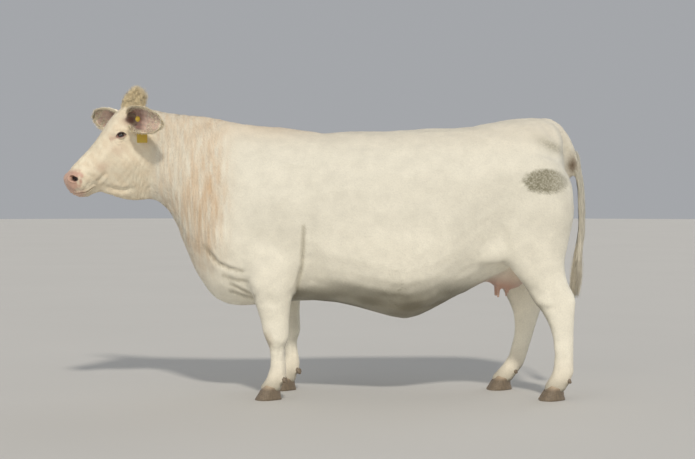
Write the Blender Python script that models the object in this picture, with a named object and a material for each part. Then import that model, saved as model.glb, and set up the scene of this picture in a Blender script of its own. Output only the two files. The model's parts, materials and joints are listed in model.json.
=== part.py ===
"""Charolais cow, standing still, life size, with an ear tag in her left ear.

Metres, +Z up, the floor at z = 0. She faces -X with her left side at -Y, and her head is
turned a little to her left. The flesh is one lofted body, parted by thin plane cuts into
torso, neck, head, udder and legs. Ears, eyes, claws, dewclaws, tail and tag are seated in it.
"""

import math

import bmesh
import bpy
import numpy as np
from mathutils import Matrix, Vector
from mathutils.bvhtree import BVHTree

# Driving sizes, in metres
GAP = 0.0003  # left between pieces that touch
HEAD_PIVOT = Vector((-0.80, 0.0, 0.0))  # the head turns about an upright axis here
HEAD_TURN = math.radians(17)
EYE_RADIUS = 0.0220
EYE_REACH, EYE_HEIGHT = 0.217, 1.267  # ahead of the pivot, and above the floor
LID_THICKNESS = 0.0032
CANNON_CUT_HEIGHT = 0.066  # where the claws start, at the middle of the pastern
CORONET_SLOPE = 0.32  # the claws' tops rise this steeply towards the toe
CLAW_LENGTH, CLAW_WIDTH = 0.128, 0.056
TAG_UP_EAR = 0.42  # the tag's place along the ear, from root to tip
TAG_LEAN = 0.6  # how far the tag's pin leans out to her side from the ear's own facing
BODY_GRAIN, HEAD_GRAIN = 0.0125, 0.0055  # spacing of the meshes that are shaped
BODY_TRIANGLES, HEAD_TRIANGLES = 5150, 3100
# The row's origin is the middle of the whole model's footprint
CENTRE = Vector((0.0048, -0.0001, 0.0))

# Back point x and z, belly point x and z, half width, level of the widest point
# as a share of the depth, fullness of the upper and of the lower half
TRUNK = (
    (-0.860, 1.400, -0.875, 0.975, 0.112, 0.50, 2.2, 2.0),
    (-0.786, 1.390, -0.815, 0.945, 0.122, 0.52, 2.0, 2.0),
    (-0.688, 1.377, -0.752, 0.880, 0.135, 0.55, 1.8, 1.9),
    (-0.590, 1.370, -0.708, 0.779, 0.155, 0.58, 1.7, 1.8),
    (-0.492, 1.350, -0.664, 0.662, 0.190, 0.60, 1.7, 1.8),
    (-0.394, 1.330, -0.606, 0.553, 0.232, 0.60, 1.7, 1.8),
    (-0.311, 1.322, -0.535, 0.468, 0.262, 0.58, 1.7, 1.9),
    (-0.223, 1.315, -0.434, 0.436, 0.280, 0.56, 1.8, 1.9),
    (-0.125, 1.303, -0.300, 0.445, 0.296, 0.55, 1.9, 2.0),
    (-0.010, 1.288, -0.125, 0.462, 0.316, 0.55, 2.1, 2.1),
    (0.120, 1.297, 0.060, 0.452, 0.345, 0.56, 2.3, 2.1),
    (0.260, 1.296, 0.240, 0.406, 0.368, 0.57, 2.4, 2.1),
    (0.390, 1.302, 0.390, 0.372, 0.376, 0.57, 2.5, 2.1),
    (0.510, 1.308, 0.510, 0.414, 0.368, 0.56, 2.5, 2.1),
    (0.640, 1.311, 0.635, 0.482, 0.345, 0.52, 2.5, 2.1),
    (0.750, 1.326, 0.755, 0.540, 0.322, 0.46, 2.3, 2.1),
    (0.845, 1.346, 0.860, 0.585, 0.312, 0.44, 2.0, 2.1),
    (0.945, 1.357, 0.960, 0.640, 0.300, 0.46, 1.9, 2.2),
    (1.035, 1.360, 1.045, 0.710, 0.272, 0.50, 1.9, 2.3),
    (1.100, 1.338, 1.110, 0.800, 0.215, 0.52, 2.0, 2.2),
)
RUMP_TIP = (1.168, 1.06)

# Face point reach and z, throat point reach and z, then half widths near the
# face, at the cheek and near the jaw. Reach is measured ahead of the pivot
HEAD = (
    (0.000, 1.388, 0.010, 0.950, 0.088, 0.116, 0.084),
    (0.075, 1.410, 0.070, 0.954, 0.092, 0.120, 0.084),
    (0.129, 1.416, 0.122, 0.949, 0.096, 0.118, 0.082),
    (0.178, 1.408, 0.172, 0.954, 0.101, 0.114, 0.079),
    (0.227, 1.382, 0.222, 0.967, 0.104, 0.111, 0.075),
    (0.265, 1.336, 0.259, 0.979, 0.101, 0.105, 0.069),
    (0.299, 1.283, 0.290, 0.988, 0.084, 0.095, 0.061),
    (0.338, 1.228, 0.317, 0.989, 0.066, 0.083, 0.053),
    (0.376, 1.185, 0.338, 0.979, 0.057, 0.074, 0.050),
    (0.410, 1.146, 0.362, 0.969, 0.053, 0.071, 0.051),
    (0.439, 1.115, 0.388, 0.967, 0.053, 0.074, 0.052),
    (0.460, 1.086, 0.416, 0.976, 0.047, 0.066, 0.046),
)
MUZZLE_TIP = (0.472, 1.036)

# Height, front x, back x, middle y, half thickness, of the near leg of each pair
FORELEG = (
    (0.86, -0.450, -0.130, 0.185, 0.085),
    (0.74, -0.430, -0.105, 0.200, 0.090),
    (0.64, -0.392, -0.112, 0.205, 0.088),
    (0.56, -0.362, -0.130, 0.203, 0.081),
    (0.50, -0.346, -0.150, 0.200, 0.073),
    (0.43, -0.326, -0.163, 0.194, 0.061),
    (0.37, -0.308, -0.168, 0.189, 0.053),
    (0.325, -0.300, -0.169, 0.185, 0.053),
    (0.285, -0.284, -0.175, 0.182, 0.051),
    (0.245, -0.268, -0.192, 0.180, 0.039),
    (0.190, -0.263, -0.190, 0.178, 0.033),
    (0.150, -0.267, -0.184, 0.176, 0.040),
    (0.118, -0.276, -0.186, 0.175, 0.046),
    (0.088, -0.291, -0.200, 0.174, 0.045),
    (0.055, -0.314, -0.208, 0.173, 0.051),
    (0.030, -0.325, -0.212, 0.173, 0.051),
)
HIND_LEG = (
    (1.16, 0.820, 1.120, 0.165, 0.115),
    (1.05, 0.800, 1.172, 0.190, 0.125),
    (0.95, 0.795, 1.192, 0.200, 0.126),
    (0.85, 0.795, 1.186, 0.203, 0.122),
    (0.76, 0.815, 1.162, 0.205, 0.110),
    (0.68, 0.855, 1.147, 0.207, 0.090),
    (0.60, 0.905, 1.154, 0.208, 0.070),
    (0.54, 0.948, 1.176, 0.208, 0.057),
    (0.488, 0.985, 1.200, 0.207, 0.050),
    (0.440, 1.020, 1.200, 0.206, 0.046),
    (0.378, 1.060, 1.195, 0.204, 0.043),
    (0.290, 1.090, 1.191, 0.202, 0.036),
    (0.200, 1.097, 1.191, 0.200, 0.034),
    (0.150, 1.092, 1.192, 0.198, 0.042),
    (0.115, 1.080, 1.188, 0.197, 0.046),
    (0.088, 1.062, 1.172, 0.196, 0.045),
    (0.055, 1.040, 1.156, 0.195, 0.051),
    (0.030, 1.030, 1.150, 0.195, 0.051),
)
# How far the far legs stand behind (+) or ahead of (-) the near ones, by height
FORELEG_STRIDE = ((0.0, 0.060), (0.12, 0.055), (0.30, 0.045), (0.50, 0.030), (0.75, 0.0))
HIND_LEG_STRIDE = (
    (0.0, -0.225), (0.10, -0.202), (0.27, -0.146), (0.45, -0.098), (0.65, -0.055), (0.95, 0.0),
)

# x, z and radius along the tail, to the end of its flesh
TAIL = (
    (1.035, 1.318, 0.034), (1.085, 1.326, 0.036), (1.135, 1.292, 0.034), (1.182, 1.228, 0.029),
    (1.222, 1.148, 0.024), (1.244, 1.060, 0.020), (1.252, 0.960, 0.018), (1.252, 0.840, 0.016),
    (1.248, 0.730, 0.015), (1.244, 0.640, 0.012),
)
TAIL_CUTS = (1.08, 0.72)  # heights at which the tail is parted into lengths
SWITCH_END = 0.475
SWITCH_LOCKS, TUFT_LOCKS = 10, 24
TUFT_REACH, TUFT_RADIUS = 0.140, 0.054  # ahead of the pivot, the tuft's base
TUFT_TOP = 1.516  # height of its peak


def clear_scene():
    for item in list(bpy.data.objects):
        bpy.data.objects.remove(item, do_unlink=True)


def material(name, colour, roughness):
    made = bpy.data.materials.new(name)
    made.use_nodes = True
    shader = made.node_tree.nodes["Principled BSDF"]
    shader.inputs["Base Color"].default_value = (*colour, 1.0)
    shader.inputs["Roughness"].default_value = roughness
    return made


def new_object(name, points, faces):
    mesh = bpy.data.meshes.new(name)
    mesh.from_pydata([tuple(p) for p in points], [], faces)
    mesh.update()
    made = bpy.data.objects.new(name, mesh)
    bpy.context.collection.objects.link(made)
    return made


def mesh_points(item):
    points = np.empty(len(item.data.vertices) * 3)
    item.data.vertices.foreach_get("co", points)
    return points.reshape(-1, 3)


def set_points(item, points):
    item.data.vertices.foreach_set("co", np.ascontiguousarray(points, np.float32).ravel())
    item.data.update()


def mesh_normals(item):
    normals = np.empty(len(item.data.vertices) * 3)
    item.data.vertex_normals.foreach_get("vector", normals)
    return normals.reshape(-1, 3)


def bake(item):
    """The object's mesh as its modifiers show it, with the modifiers gone."""
    graph = bpy.context.evaluated_depsgraph_get()
    shown = bpy.data.meshes.new_from_object(item.evaluated_get(graph))
    old = item.data
    item.modifiers.clear()
    item.data = shown
    bpy.data.meshes.remove(old)


def remove(item):
    mesh = item.data
    bpy.data.objects.remove(item, do_unlink=True)
    if mesh.users == 0:
        bpy.data.meshes.remove(mesh)


def copy_of(item, name):
    made = bpy.data.objects.new(name, item.data.copy())
    bpy.context.collection.objects.link(made)
    return made


def keep_largest(item):
    """Drops every closed surface of a mesh but the one with the most volume."""
    shape = bmesh.new()
    shape.from_mesh(item.data)
    bmesh.ops.triangulate(shape, faces=shape.faces[:])
    left = set(shape.faces)
    shells = []
    while left:
        shell, edge_of = [], [left.pop()]
        while edge_of:
            face = edge_of.pop()
            shell.append(face)
            for edge in face.edges:
                for other in edge.link_faces:
                    if other in left:
                        left.remove(other)
                        edge_of.append(other)
        shells.append(shell)

    def volume(shell):
        return sum(f.verts[0].co.dot(f.verts[1].co.cross(f.verts[2].co)) for f in shell)

    largest = max(shells, key=volume)
    for shell in shells:
        if shell is not largest:
            bmesh.ops.delete(shape, geom=shell, context="FACES")
    loose = [v for v in shape.verts if not v.link_faces]
    bmesh.ops.delete(shape, geom=loose, context="VERTS")
    shape.to_mesh(item.data)
    shape.free()


def combine(item, cutters, operation, solver="EXACT"):
    """One Boolean with all the cutters, applied, and the cutters removed."""
    group = bpy.data.collections.new("cutters")
    bpy.context.scene.collection.children.link(group)
    for cutter in cutters:
        group.objects.link(cutter)
    boolean = item.modifiers.new("combine", "BOOLEAN")
    boolean.operand_type = "COLLECTION"
    boolean.collection = group
    boolean.operation = operation
    boolean.solver = solver
    bake(item)
    for cutter in cutters:
        remove(cutter)
    bpy.data.collections.remove(group)
    keep_largest(item)


def grown(item, by=GAP):
    """A copy of a closed piece, swollen by a gap, to cut its seat with."""
    made = copy_of(item, item.name + "_seat")
    set_points(made, mesh_points(made) + mesh_normals(made) * by)
    return made


def seat(parent, piece, by=GAP, solver="EXACT"):
    combine(parent, [grown(piece, by)], "DIFFERENCE", solver)


def between(table, count):
    """Catmull-Rom points through the rows of a table, count to each step."""
    rows = np.array(table, float)
    rows = np.vstack([2 * rows[0] - rows[1], rows, 2 * rows[-1] - rows[-2]])
    made = []
    for a, b, c, d in zip(rows, rows[1:], rows[2:], rows[3:]):
        for step in range(count):
            t = step / count
            made.append(
                0.5 * (2 * b + (c - a) * t + (2 * a - 5 * b + 4 * c - d) * t**2
                       + (3 * b - a - 3 * c + d) * t**3)
            )
    made.append(rows[-2])
    return np.array(made)


def loft(name, rings):
    """A closed skin over rings of equal count, each end closed by a fan."""
    rings = [np.array(ring) for ring in rings]
    sides = len(rings[0])
    points = [p for ring in rings for p in ring]
    first, last = len(points), len(points) + 1
    points += [rings[0].mean(axis=0), rings[-1].mean(axis=0)]
    faces = []
    for ring in range(len(rings) - 1):
        for side in range(sides):
            after = (side + 1) % sides
            a, b = ring * sides + side, ring * sides + after
            faces.append((a, b, b + sides, a + sides))
    start = (len(rings) - 1) * sides
    for side in range(sides):
        after = (side + 1) % sides
        faces.append((after, side, first))
        faces.append((start + side, start + after, last))
    made = new_object(name, points, faces)
    face_out(made)
    return made


def face_out(item):
    shape = bmesh.new()
    shape.from_mesh(item.data)
    bmesh.ops.recalc_face_normals(shape, faces=shape.faces[:])
    shape.to_mesh(item.data)
    shape.free()


def rounded_end(ring, tip, turns=(20, 40, 58, 74)):
    """Rings that shrink from a ring towards a tip, as a quarter of an ellipse."""
    ring, tip = np.array(ring), np.array(tip)
    middle = ring.mean(axis=0)
    rings = []
    for turn in turns:
        angle = math.radians(turn)
        rings.append(middle + (ring - middle) * math.cos(angle) + (tip - middle) * math.sin(angle))
    return rings


def trunk_ring(row, sides=36):
    back_x, back_z, belly_x, belly_z, half, level, upper, lower = row
    ring = []
    for side in range(sides):
        angle = 2 * math.pi * side / sides
        up, out = math.cos(angle), math.sin(angle)
        power = 2 / (upper if up >= 0 else lower)
        rise = abs(up) ** power
        down = level * (1 - rise) if up >= 0 else level + (1 - level) * rise
        across = math.copysign(abs(out) ** power, out) * half
        ring.append((back_x + (belly_x - back_x) * down, across, back_z + (belly_z - back_z) * down))
    return ring


def trunk():
    rings = [trunk_ring(row) for row in between(TRUNK, 2)]
    tip = (RUMP_TIP[0], 0.0, RUMP_TIP[1])
    return loft("trunk", rings + rounded_end(rings[-1], tip))


def head_ring(row, sides=48, squareness=2.8):
    face_d, face_z, throat_d, throat_z, brow, cheek, jaw = row
    fit = np.polyfit((0.12, 0.45, 0.80), (brow, cheek, jaw), 2)
    ring = []
    for side in range(sides):
        angle = 2 * math.pi * side / sides
        down = 0.5 - 0.5 * math.cos(angle)
        round_off = (1 - abs(2 * down - 1) ** squareness) ** (1 / squareness)
        across = math.copysign(1, math.sin(angle)) * float(np.polyval(fit, down)) * round_off
        reach = face_d + (throat_d - face_d) * down
        ring.append((HEAD_PIVOT.x - reach, across, face_z + (throat_z - face_z) * down))
    return ring


def head_form():
    """The head in its own frame, facing -X before it is turned."""
    rings = [head_ring(row) for row in between(HEAD, 2)]
    tip = (HEAD_PIVOT.x - MUZZLE_TIP[0], 0.0, MUZZLE_TIP[1])
    return loft("head_form", rings + rounded_end(rings[-1], tip))


def head_place(reach, across, height):
    return np.array((HEAD_PIVOT.x - reach, across, height))


def turn_head(points):
    """From the head's own frame to where the turned head is."""
    turn = np.array(Matrix.Rotation(HEAD_TURN, 3, "Z"))
    pivot = np.array(HEAD_PIVOT)
    return (np.asarray(points) - pivot) @ turn.T + pivot


def stride_at(table, height):
    heights, shifts = zip(*table)
    return float(np.interp(height, heights, shifts))


def leg_form(name, table, side, stride):
    """One leg from inside the trunk to inside the claws. side is -1 on her left."""
    rings = []
    for height, front, back, middle_y, thick in between(table, 2):
        shift = stride_at(stride, height) if side > 0 else 0.0
        middle, half = (front + back) / 2 + shift, (back - front) / 2
        ring = []
        for step in range(20):
            angle = 2 * math.pi * step / 20
            x = middle + half * math.copysign(abs(math.cos(angle)) ** 0.9, math.cos(angle))
            y = side * middle_y + thick * math.copysign(abs(math.sin(angle)) ** 0.9, math.sin(angle))
            ring.append((x, y, height))
        rings.append(ring)
    return loft(name, rings)


def ellipsoid(name, centre, radii, lean=0.0):
    """A muscle or gland, leaning about Y."""
    shape = bmesh.new()
    bmesh.ops.create_uvsphere(shape, u_segments=20, v_segments=12, radius=1.0)
    place = Matrix.Translation(centre) @ Matrix.Rotation(lean, 4, "Y") @ Matrix.Diagonal((*radii, 1.0))
    bmesh.ops.transform(shape, matrix=place, verts=shape.verts[:])
    mesh = bpy.data.meshes.new(name)
    shape.to_mesh(mesh)
    shape.free()
    made = bpy.data.objects.new(name, mesh)
    bpy.context.collection.objects.link(made)
    return made


def fused(name, pieces, grain):
    """The pieces as one even skin, with the pieces removed."""
    shape = bmesh.new()
    for piece in pieces:
        shape.from_mesh(piece.data)
    mesh = bpy.data.meshes.new(name)
    shape.to_mesh(mesh)
    shape.free()
    made = bpy.data.objects.new(name, mesh)
    bpy.context.collection.objects.link(made)
    for piece in pieces:
        remove(piece)
    remesh = made.modifiers.new("fuse", "REMESH")
    remesh.mode = "VOXEL"
    remesh.voxel_size = grain
    bake(made)
    keep_quads_largest(made)
    return made


def keep_quads_largest(item):
    """The island with the most vertices, so that no sealed hollow stays."""
    count = len(item.data.vertices)
    pairs = mesh_pairs(item)
    label = np.arange(count)
    while True:
        low = np.minimum(label[pairs[:, 0]], label[pairs[:, 1]])
        new = label.copy()
        np.minimum.at(new, pairs[:, 0], low)
        np.minimum.at(new, pairs[:, 1], low)
        new = new[new]
        if (new == label).all():
            break
        label = new
    names, sizes = np.unique(label, return_counts=True)
    if len(names) == 1:
        return
    keep = label == names[sizes.argmax()]
    shape = bmesh.new()
    shape.from_mesh(item.data)
    doomed = [v for v, kept in zip(shape.verts, keep) if not kept]
    bmesh.ops.delete(shape, geom=doomed, context="VERTS")
    shape.to_mesh(item.data)
    shape.free()


def mesh_pairs(item):
    pairs = np.empty(len(item.data.edges) * 2, np.int64)
    item.data.edges.foreach_get("vertices", pairs)
    return pairs.reshape(-1, 2)


def relax(item, rounds, amount=None, shrink=0.5, swell_back=-0.53):
    """Evens the surface without thinning it, by an amount for each point from 0 to 1."""
    points, pairs = mesh_points(item), mesh_pairs(item)
    count = len(points)
    ends = np.concatenate([pairs[:, 0], pairs[:, 1]])
    others = np.concatenate([pairs[:, 1], pairs[:, 0]])
    shares = np.bincount(ends, minlength=count)[:, None]
    weight = 1.0 if amount is None else amount[:, None]
    for _ in range(rounds):
        for step in (shrink, swell_back):
            if step == 0:
                continue
            mean = np.stack(
                [np.bincount(ends, weights=points[others, axis], minlength=count) for axis in range(3)],
                axis=1,
            ) / shares
            points = points + (mean - points) * step * weight
    set_points(item, points)


def near(points, centre, radii):
    """1 at a centre, falling to nothing past its radii."""
    away = (points - np.array(centre)) / np.array(radii)
    return np.exp(-np.sum(away * away, axis=1))


def both_sides(points, centre, radii):
    left = np.array(centre) * (1, -1, 1)
    return near(points, centre, radii) + near(points, left, radii)


def thin_out(item, triangles):
    shape = bmesh.new()
    shape.from_mesh(item.data)
    bmesh.ops.triangulate(shape, faces=shape.faces[:])
    shape.to_mesh(item.data)
    shape.free()
    decimate = item.modifiers.new("thin out", "DECIMATE")
    decimate.ratio = triangles / len(item.data.polygons)
    bake(item)


# Swellings and hollows of the body: x, y on either side, z, their radii and height
BODY_FORMS = (
    ((-0.34, 0.26, 1.00), (0.13, 0.12, 0.20), 0.012),  # shoulder blade
    ((-0.50, 0.17, 0.78), (0.09, 0.10, 0.09), 0.020),  # point of the shoulder
    ((-0.20, 0.27, 0.72), (0.09, 0.12, 0.10), 0.012),  # muscle above the elbow
    ((-0.06, 0.28, 0.62), (0.05, 0.12, 0.12), -0.020),  # hollow behind the elbow
    ((-0.09, 0.28, 1.02), (0.05, 0.12, 0.20), -0.009),  # behind the shoulder blade
    ((0.68, 0.30, 1.16), (0.09, 0.12, 0.08), -0.016),  # hollow of the flank
    ((0.79, 0.27, 1.26), (0.06, 0.07, 0.05), 0.014),  # hook bone
    ((0.98, 0.30, 1.10), (0.08, 0.10, 0.08), 0.008),  # hip joint
    ((1.13, 0.11, 1.24), (0.05, 0.06, 0.05), 0.012),  # pin bone
    ((0.86, 0.30, 0.74), (0.07, 0.10, 0.09), 0.012),  # stifle
    ((1.10, 0.27, 0.92), (0.07, 0.10, 0.14), 0.010),  # back of the thigh
)


def flank_fold(side):
    """The fold of skin from the belly to the stifle."""
    return ellipsoid("fold", (0.785, side * 0.235, 0.745), (0.13, 0.045, 0.095), math.radians(-8))


def body():
    skull = head_form()
    set_points(skull, turn_head(mesh_points(skull)))
    pieces = [trunk(), skull]
    for side in (-1, 1):
        pieces.append(leg_form("foreleg", FORELEG, side, FORELEG_STRIDE))
        pieces.append(leg_form("hind_leg", HIND_LEG, side, HIND_LEG_STRIDE))
        pieces.append(flank_fold(side))
    pieces.append(ellipsoid("gland", (0.885, 0.0, 0.600), (0.105, 0.105, 0.085), math.radians(10)))
    item = fused("body", pieces, BODY_GRAIN)
    points = mesh_points(item)
    # The joins between trunk and legs are evened most, the lower legs least
    low = 1 / (1 + np.exp((points[:, 2] - 0.46) / 0.03))
    relax(item, 14, 1.0 - 0.75 * low, 0.5, -0.42)
    relax(item, 10, near(points, (-0.86, 0, 1.18), (0.09, 0.5, 0.5)), 0.5, -0.40)
    points, normals = mesh_points(item), mesh_normals(item)
    rise = np.zeros(len(points))
    for centre, radii, height in BODY_FORMS:
        rise += both_sides(points, centre, radii) * height
    # The line of the spine lies a little sunk between the loins
    loin = near(points, (0.45, 0.0, 1.31), (0.35, 0.022, 0.06))
    set_points(item, points + normals * (rise - 0.006 * loin)[:, None])
    relax(item, 3)
    return item


# Swellings and hollows of the head, in its own frame: reach, across, z, radii, height
HEAD_FORMS = (
    ((0.205, 0.115, 1.303), (0.045, 0.03, 0.018), 0.010),  # brow over the eye
    ((0.165, 0.120, 1.262), (0.050, 0.03, 0.014), 0.007),  # arch behind the eye
    ((0.150, 0.115, 1.310), (0.028, 0.03, 0.022), -0.008),  # temple
    ((0.262, 0.100, 1.222), (0.035, 0.03, 0.022), -0.006),  # hollow before the eye
    ((0.185, 0.115, 1.120), (0.060, 0.03, 0.060), 0.010),  # cheek muscle
    ((0.292, 0.090, 1.078), (0.018, 0.03, 0.030), -0.007),  # crease before the cheek
    ((0.350, 0.085, 1.070), (0.034, 0.03, 0.030), 0.005),  # side of the upper jaw
    ((0.432, 0.075, 1.066), (0.022, 0.025, 0.022), 0.011),  # wing of the nostril
    ((0.420, 0.070, 1.020), (0.030, 0.03, 0.014), 0.006),  # upper lip
    ((0.385, 0.045, 0.985), (0.030, 0.03, 0.014), 0.005),  # lower lip and chin
    ((0.310, 0.075, 0.998), (0.028, 0.03, 0.014), -0.007),  # behind the corner of the mouth
    ((0.135, 0.000, 1.420), (0.040, 0.050, 0.030), 0.038),  # core under the tuft
)
MOUTH_MIDDLE = 0.360  # reach of the point inside the muzzle that the mouth's line runs round
MOUTH_LINE = (  # degrees round from the front of the lips, and height
    (0, 0.990), (30, 0.990), (60, 0.994), (90, 1.004), (116, 1.020),
)
NOSTRIL = (0.440, 1.058)


def outward_hit(surface, reach, height, side):
    """Where a line across the head meets its skin, and the way out there."""
    start = Vector(head_place(reach, side * 0.4, height))
    place, normal, _, _ = surface.ray_cast(start, Vector((0, -side, 0)))
    return np.array(place), np.array(normal)


def surface_of(item):
    shape = bmesh.new()
    shape.from_mesh(item.data)
    tree = BVHTree.FromBMesh(shape)
    shape.free()
    return tree


def eye_centre(surface, side):
    place, normal = outward_hit(surface, EYE_REACH, EYE_HEIGHT, side)
    axis = np.array((-0.24, side * 0.96, 0.10))
    axis /= np.linalg.norm(axis)
    return place - axis * (EYE_RADIUS - 0.0065), axis


def wrap_ball(points, centre, radius):
    """Pushes skin that lies nearer than a radius to a ball's centre out to it."""
    away = points - centre
    distance = np.linalg.norm(away, axis=1)
    inside = distance < radius
    points[inside] = centre + away[inside] * (radius / distance[inside])[:, None]
    return points


def head_skin():
    """Head and upper neck as one even skin in the head's own frame, and the eyes' places."""
    stump = loft("stump", [trunk_ring(row) for row in between(TRUNK[:5], 2)])
    set_points(stump, unturn(mesh_points(stump)))
    item = fused("head", [head_form(), stump], HEAD_GRAIN)
    points = mesh_points(item)
    join = near(points, (HEAD_PIVOT.x - 0.05, 0, 1.18), (0.09, 0.5, 0.5))
    relax(item, 22, np.clip(0.25 + join, 0, 1), 0.5, -0.40)
    relax(item, 60, join, 0.5, -0.40)
    points, normals = mesh_points(item), mesh_normals(item)
    rise = np.zeros(len(points))
    for centre, radii, height in HEAD_FORMS:
        rise += both_sides(points, head_place(*centre), radii) * height
    set_points(item, points + normals * rise[:, None])
    relax(item, 2)
    surface = surface_of(item)
    eyes = {side: eye_centre(surface, side) for side in (-1, 1)}
    points = mesh_points(item)
    for centre, _ in eyes.values():
        points = wrap_ball(points, centre, EYE_RADIUS + LID_THICKNESS)
    set_points(item, points)
    return item, eyes


def unturn(points):
    turn = np.array(Matrix.Rotation(-HEAD_TURN, 3, "Z"))
    pivot = np.array(HEAD_PIVOT)
    return (np.asarray(points) - pivot) @ turn.T + pivot


def frame_about(axis):
    """Two directions square to an axis: the first level, towards the muzzle."""
    axis = np.array(axis)
    forward = np.array((-1.0, 0, 0)) - axis * -axis[0]
    forward /= np.linalg.norm(forward)
    up = np.cross(axis, forward)
    return forward, up if up[2] > 0 else -up


def prism(name, outline, start, end):
    """A straight-sided cutter over an outline, from one shift to the other."""
    return loft(name, [outline + start, outline + end])


def lid_opening(centre, axis):
    forward, up = frame_about(axis)
    half, tilt = 0.0228, math.radians(-10)
    outline = []
    for step in range(22):
        angle = 2 * math.pi * step / 22
        x = half * math.cos(angle)
        arch = 0.0140 if math.sin(angle) > 0 else 0.0112
        y = arch * math.copysign(abs(math.sin(angle)) ** 1.25, math.sin(angle))
        x, y = x * math.cos(tilt) - y * math.sin(tilt), x * math.sin(tilt) + y * math.cos(tilt)
        outline.append(centre + forward * x + up * y)
    return prism("lids", np.array(outline), axis * 0.004, axis * 0.05)


def ball(name, centre, axis, radius, segments=14, rings=9, bulge=0.0):
    """An eyeball round an axis, its cornea a little bulged."""
    shape = bmesh.new()
    bmesh.ops.create_uvsphere(shape, u_segments=segments, v_segments=rings, radius=radius)
    turn = Vector((0, 0, 1)).rotation_difference(Vector(axis)).to_matrix().to_4x4()
    bmesh.ops.transform(shape, matrix=Matrix.Translation(centre) @ turn, verts=shape.verts[:])
    for vert in shape.verts:
        away = (vert.co - Vector(centre)).normalized()
        facing = max(0.0, away.dot(Vector(axis)))
        vert.co += away * bulge * facing**8
    mesh = bpy.data.meshes.new(name)
    shape.to_mesh(mesh)
    shape.free()
    made = bpy.data.objects.new(name, mesh)
    bpy.context.collection.objects.link(made)
    return made


def nostril_cutter(surface, side):
    """A comma-shaped hole that runs back and inwards into the muzzle."""
    reach, height = NOSTRIL
    place, _ = outward_hit(surface, reach, height, side)
    out = np.array((-0.55, side * 0.80, 0.10))
    out /= np.linalg.norm(out)
    forward, up = frame_about(out)
    rings = []
    for depth, size in ((-0.012, 1.25), (0.002, 1.0), (0.014, 0.80), (0.028, 0.5)):
        ring = []
        for step in range(14):
            angle = 2 * math.pi * step / 14
            radius = 0.0150 * size * (1 + 0.28 * math.cos(angle - 0.5) + 0.16 * math.cos(2 * angle - 1.2))
            x, y = radius * 1.15 * math.cos(angle), radius * 0.85 * math.sin(angle)
            ring.append(place - out * depth + forward * (x - 0.2 * depth) + up * (y + 0.35 * depth))
        rings.append(ring)
    return loft("nostril", rings)


def mouth_cutter(surface):
    """A thin wedge between the lips, from one corner of the mouth round to the other."""
    turns, heights = zip(*MOUTH_LINE)
    path = []
    for turn in np.linspace(-turns[-1], turns[-1], 31):
        angle = math.radians(turn)
        out = Vector((-math.cos(angle), math.sin(angle), 0))
        middle = Vector(head_place(MOUTH_MIDDLE, 0, float(np.interp(abs(turn), turns, heights))))
        place, normal, _, _ = surface.ray_cast(middle + out * 0.4, -out)
        path.append((np.array(place), np.array(normal)))
    rings = []
    count = len(path)
    for index, (place, normal) in enumerate(path):
        before, after = path[max(index - 1, 0)][0], path[min(index + 1, count - 1)][0]
        run = (after - before) / np.linalg.norm(after - before)
        up = np.cross(normal, run)
        up = up / np.linalg.norm(up) * math.copysign(1, up[2])
        share = min(index, count - 1 - index) / (count / 2)
        depth = 0.003 + 0.007 * min(1.0, share * 3)
        half = 0.0011 + 0.0007 * min(1.0, share * 3)
        outer = place + normal * 0.008
        rings.append((outer + up * half * 2.2, outer - up * half * 2.2, place - normal * depth - up * 0.0005,
                      place - normal * depth + up * 0.0005))
    return loft("mouth", rings)


def lock(name, root, control, tip, width, thick, flat_to):
    """A flat, tapered lock of hair on a bent line, its root sunk below where it grows."""
    rings = []
    for share, wide in ((-0.20, 0.70), (0.15, 1.0), (0.50, 0.95), (0.80, 0.66), (1.0, 0.20)):
        middle = root * (1 - share) ** 2 + control * 2 * share * (1 - share) + tip * share**2
        run = (control - root) * (1 - share) + (tip - control) * share
        run /= np.linalg.norm(run)
        across = np.cross(run, flat_to)
        across /= np.linalg.norm(across)
        face = np.cross(across, run)
        half, deep = width / 2 * wide, thick / 2 * (0.45 + 0.55 * wide)
        rings.append((middle + across * half, middle + face * deep, middle - across * half,
                      middle - face * deep))
    return loft(name, rings)


def tuft_locks(surface):
    """Broad locks of the poll that bulge a little, lean together and curl aside at their ends."""
    draw = np.random.default_rng(4)
    made = []
    for index in range(TUFT_LOCKS):
        share = (index + 0.5) / TUFT_LOCKS
        angle = index * math.radians(137.5)
        ahead, aside = math.sqrt(share) * math.cos(angle), math.sqrt(share) * math.sin(angle)
        reach, across = TUFT_REACH + TUFT_RADIUS * ahead, TUFT_RADIUS * aside * 1.1
        start = Vector(head_place(reach, across, 1.6))
        root = np.array(surface.ray_cast(start, Vector((0, 0, -1)))[0])
        # The mound slopes up from the front to a peak over its back, and falls off to the sides
        top = TUFT_TOP - 0.058 * max(ahead, 0) ** 1.4 - 0.024 * max(-ahead, 0) ** 2 - 0.044 * aside**2
        top -= 0.016 * draw.random()
        out, round_it = np.array((-ahead, aside, 0.0)), np.array((aside, ahead, 0.0))
        curl = round_it * 0.016 * (1 if index % 2 else -1) + draw.normal(0, 0.004, 3)
        tip = head_place(TUFT_REACH - 0.014 + 0.030 * ahead, across * 0.60, top) + curl
        control = (root + tip) / 2 + out * 0.022 + np.array((0, 0, 0.014))
        flat_to = np.array((-math.cos(angle), math.sin(angle), 0.15))
        made.append(lock("lock", root, control, tip, 0.040, 0.013, flat_to))
    return made


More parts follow.
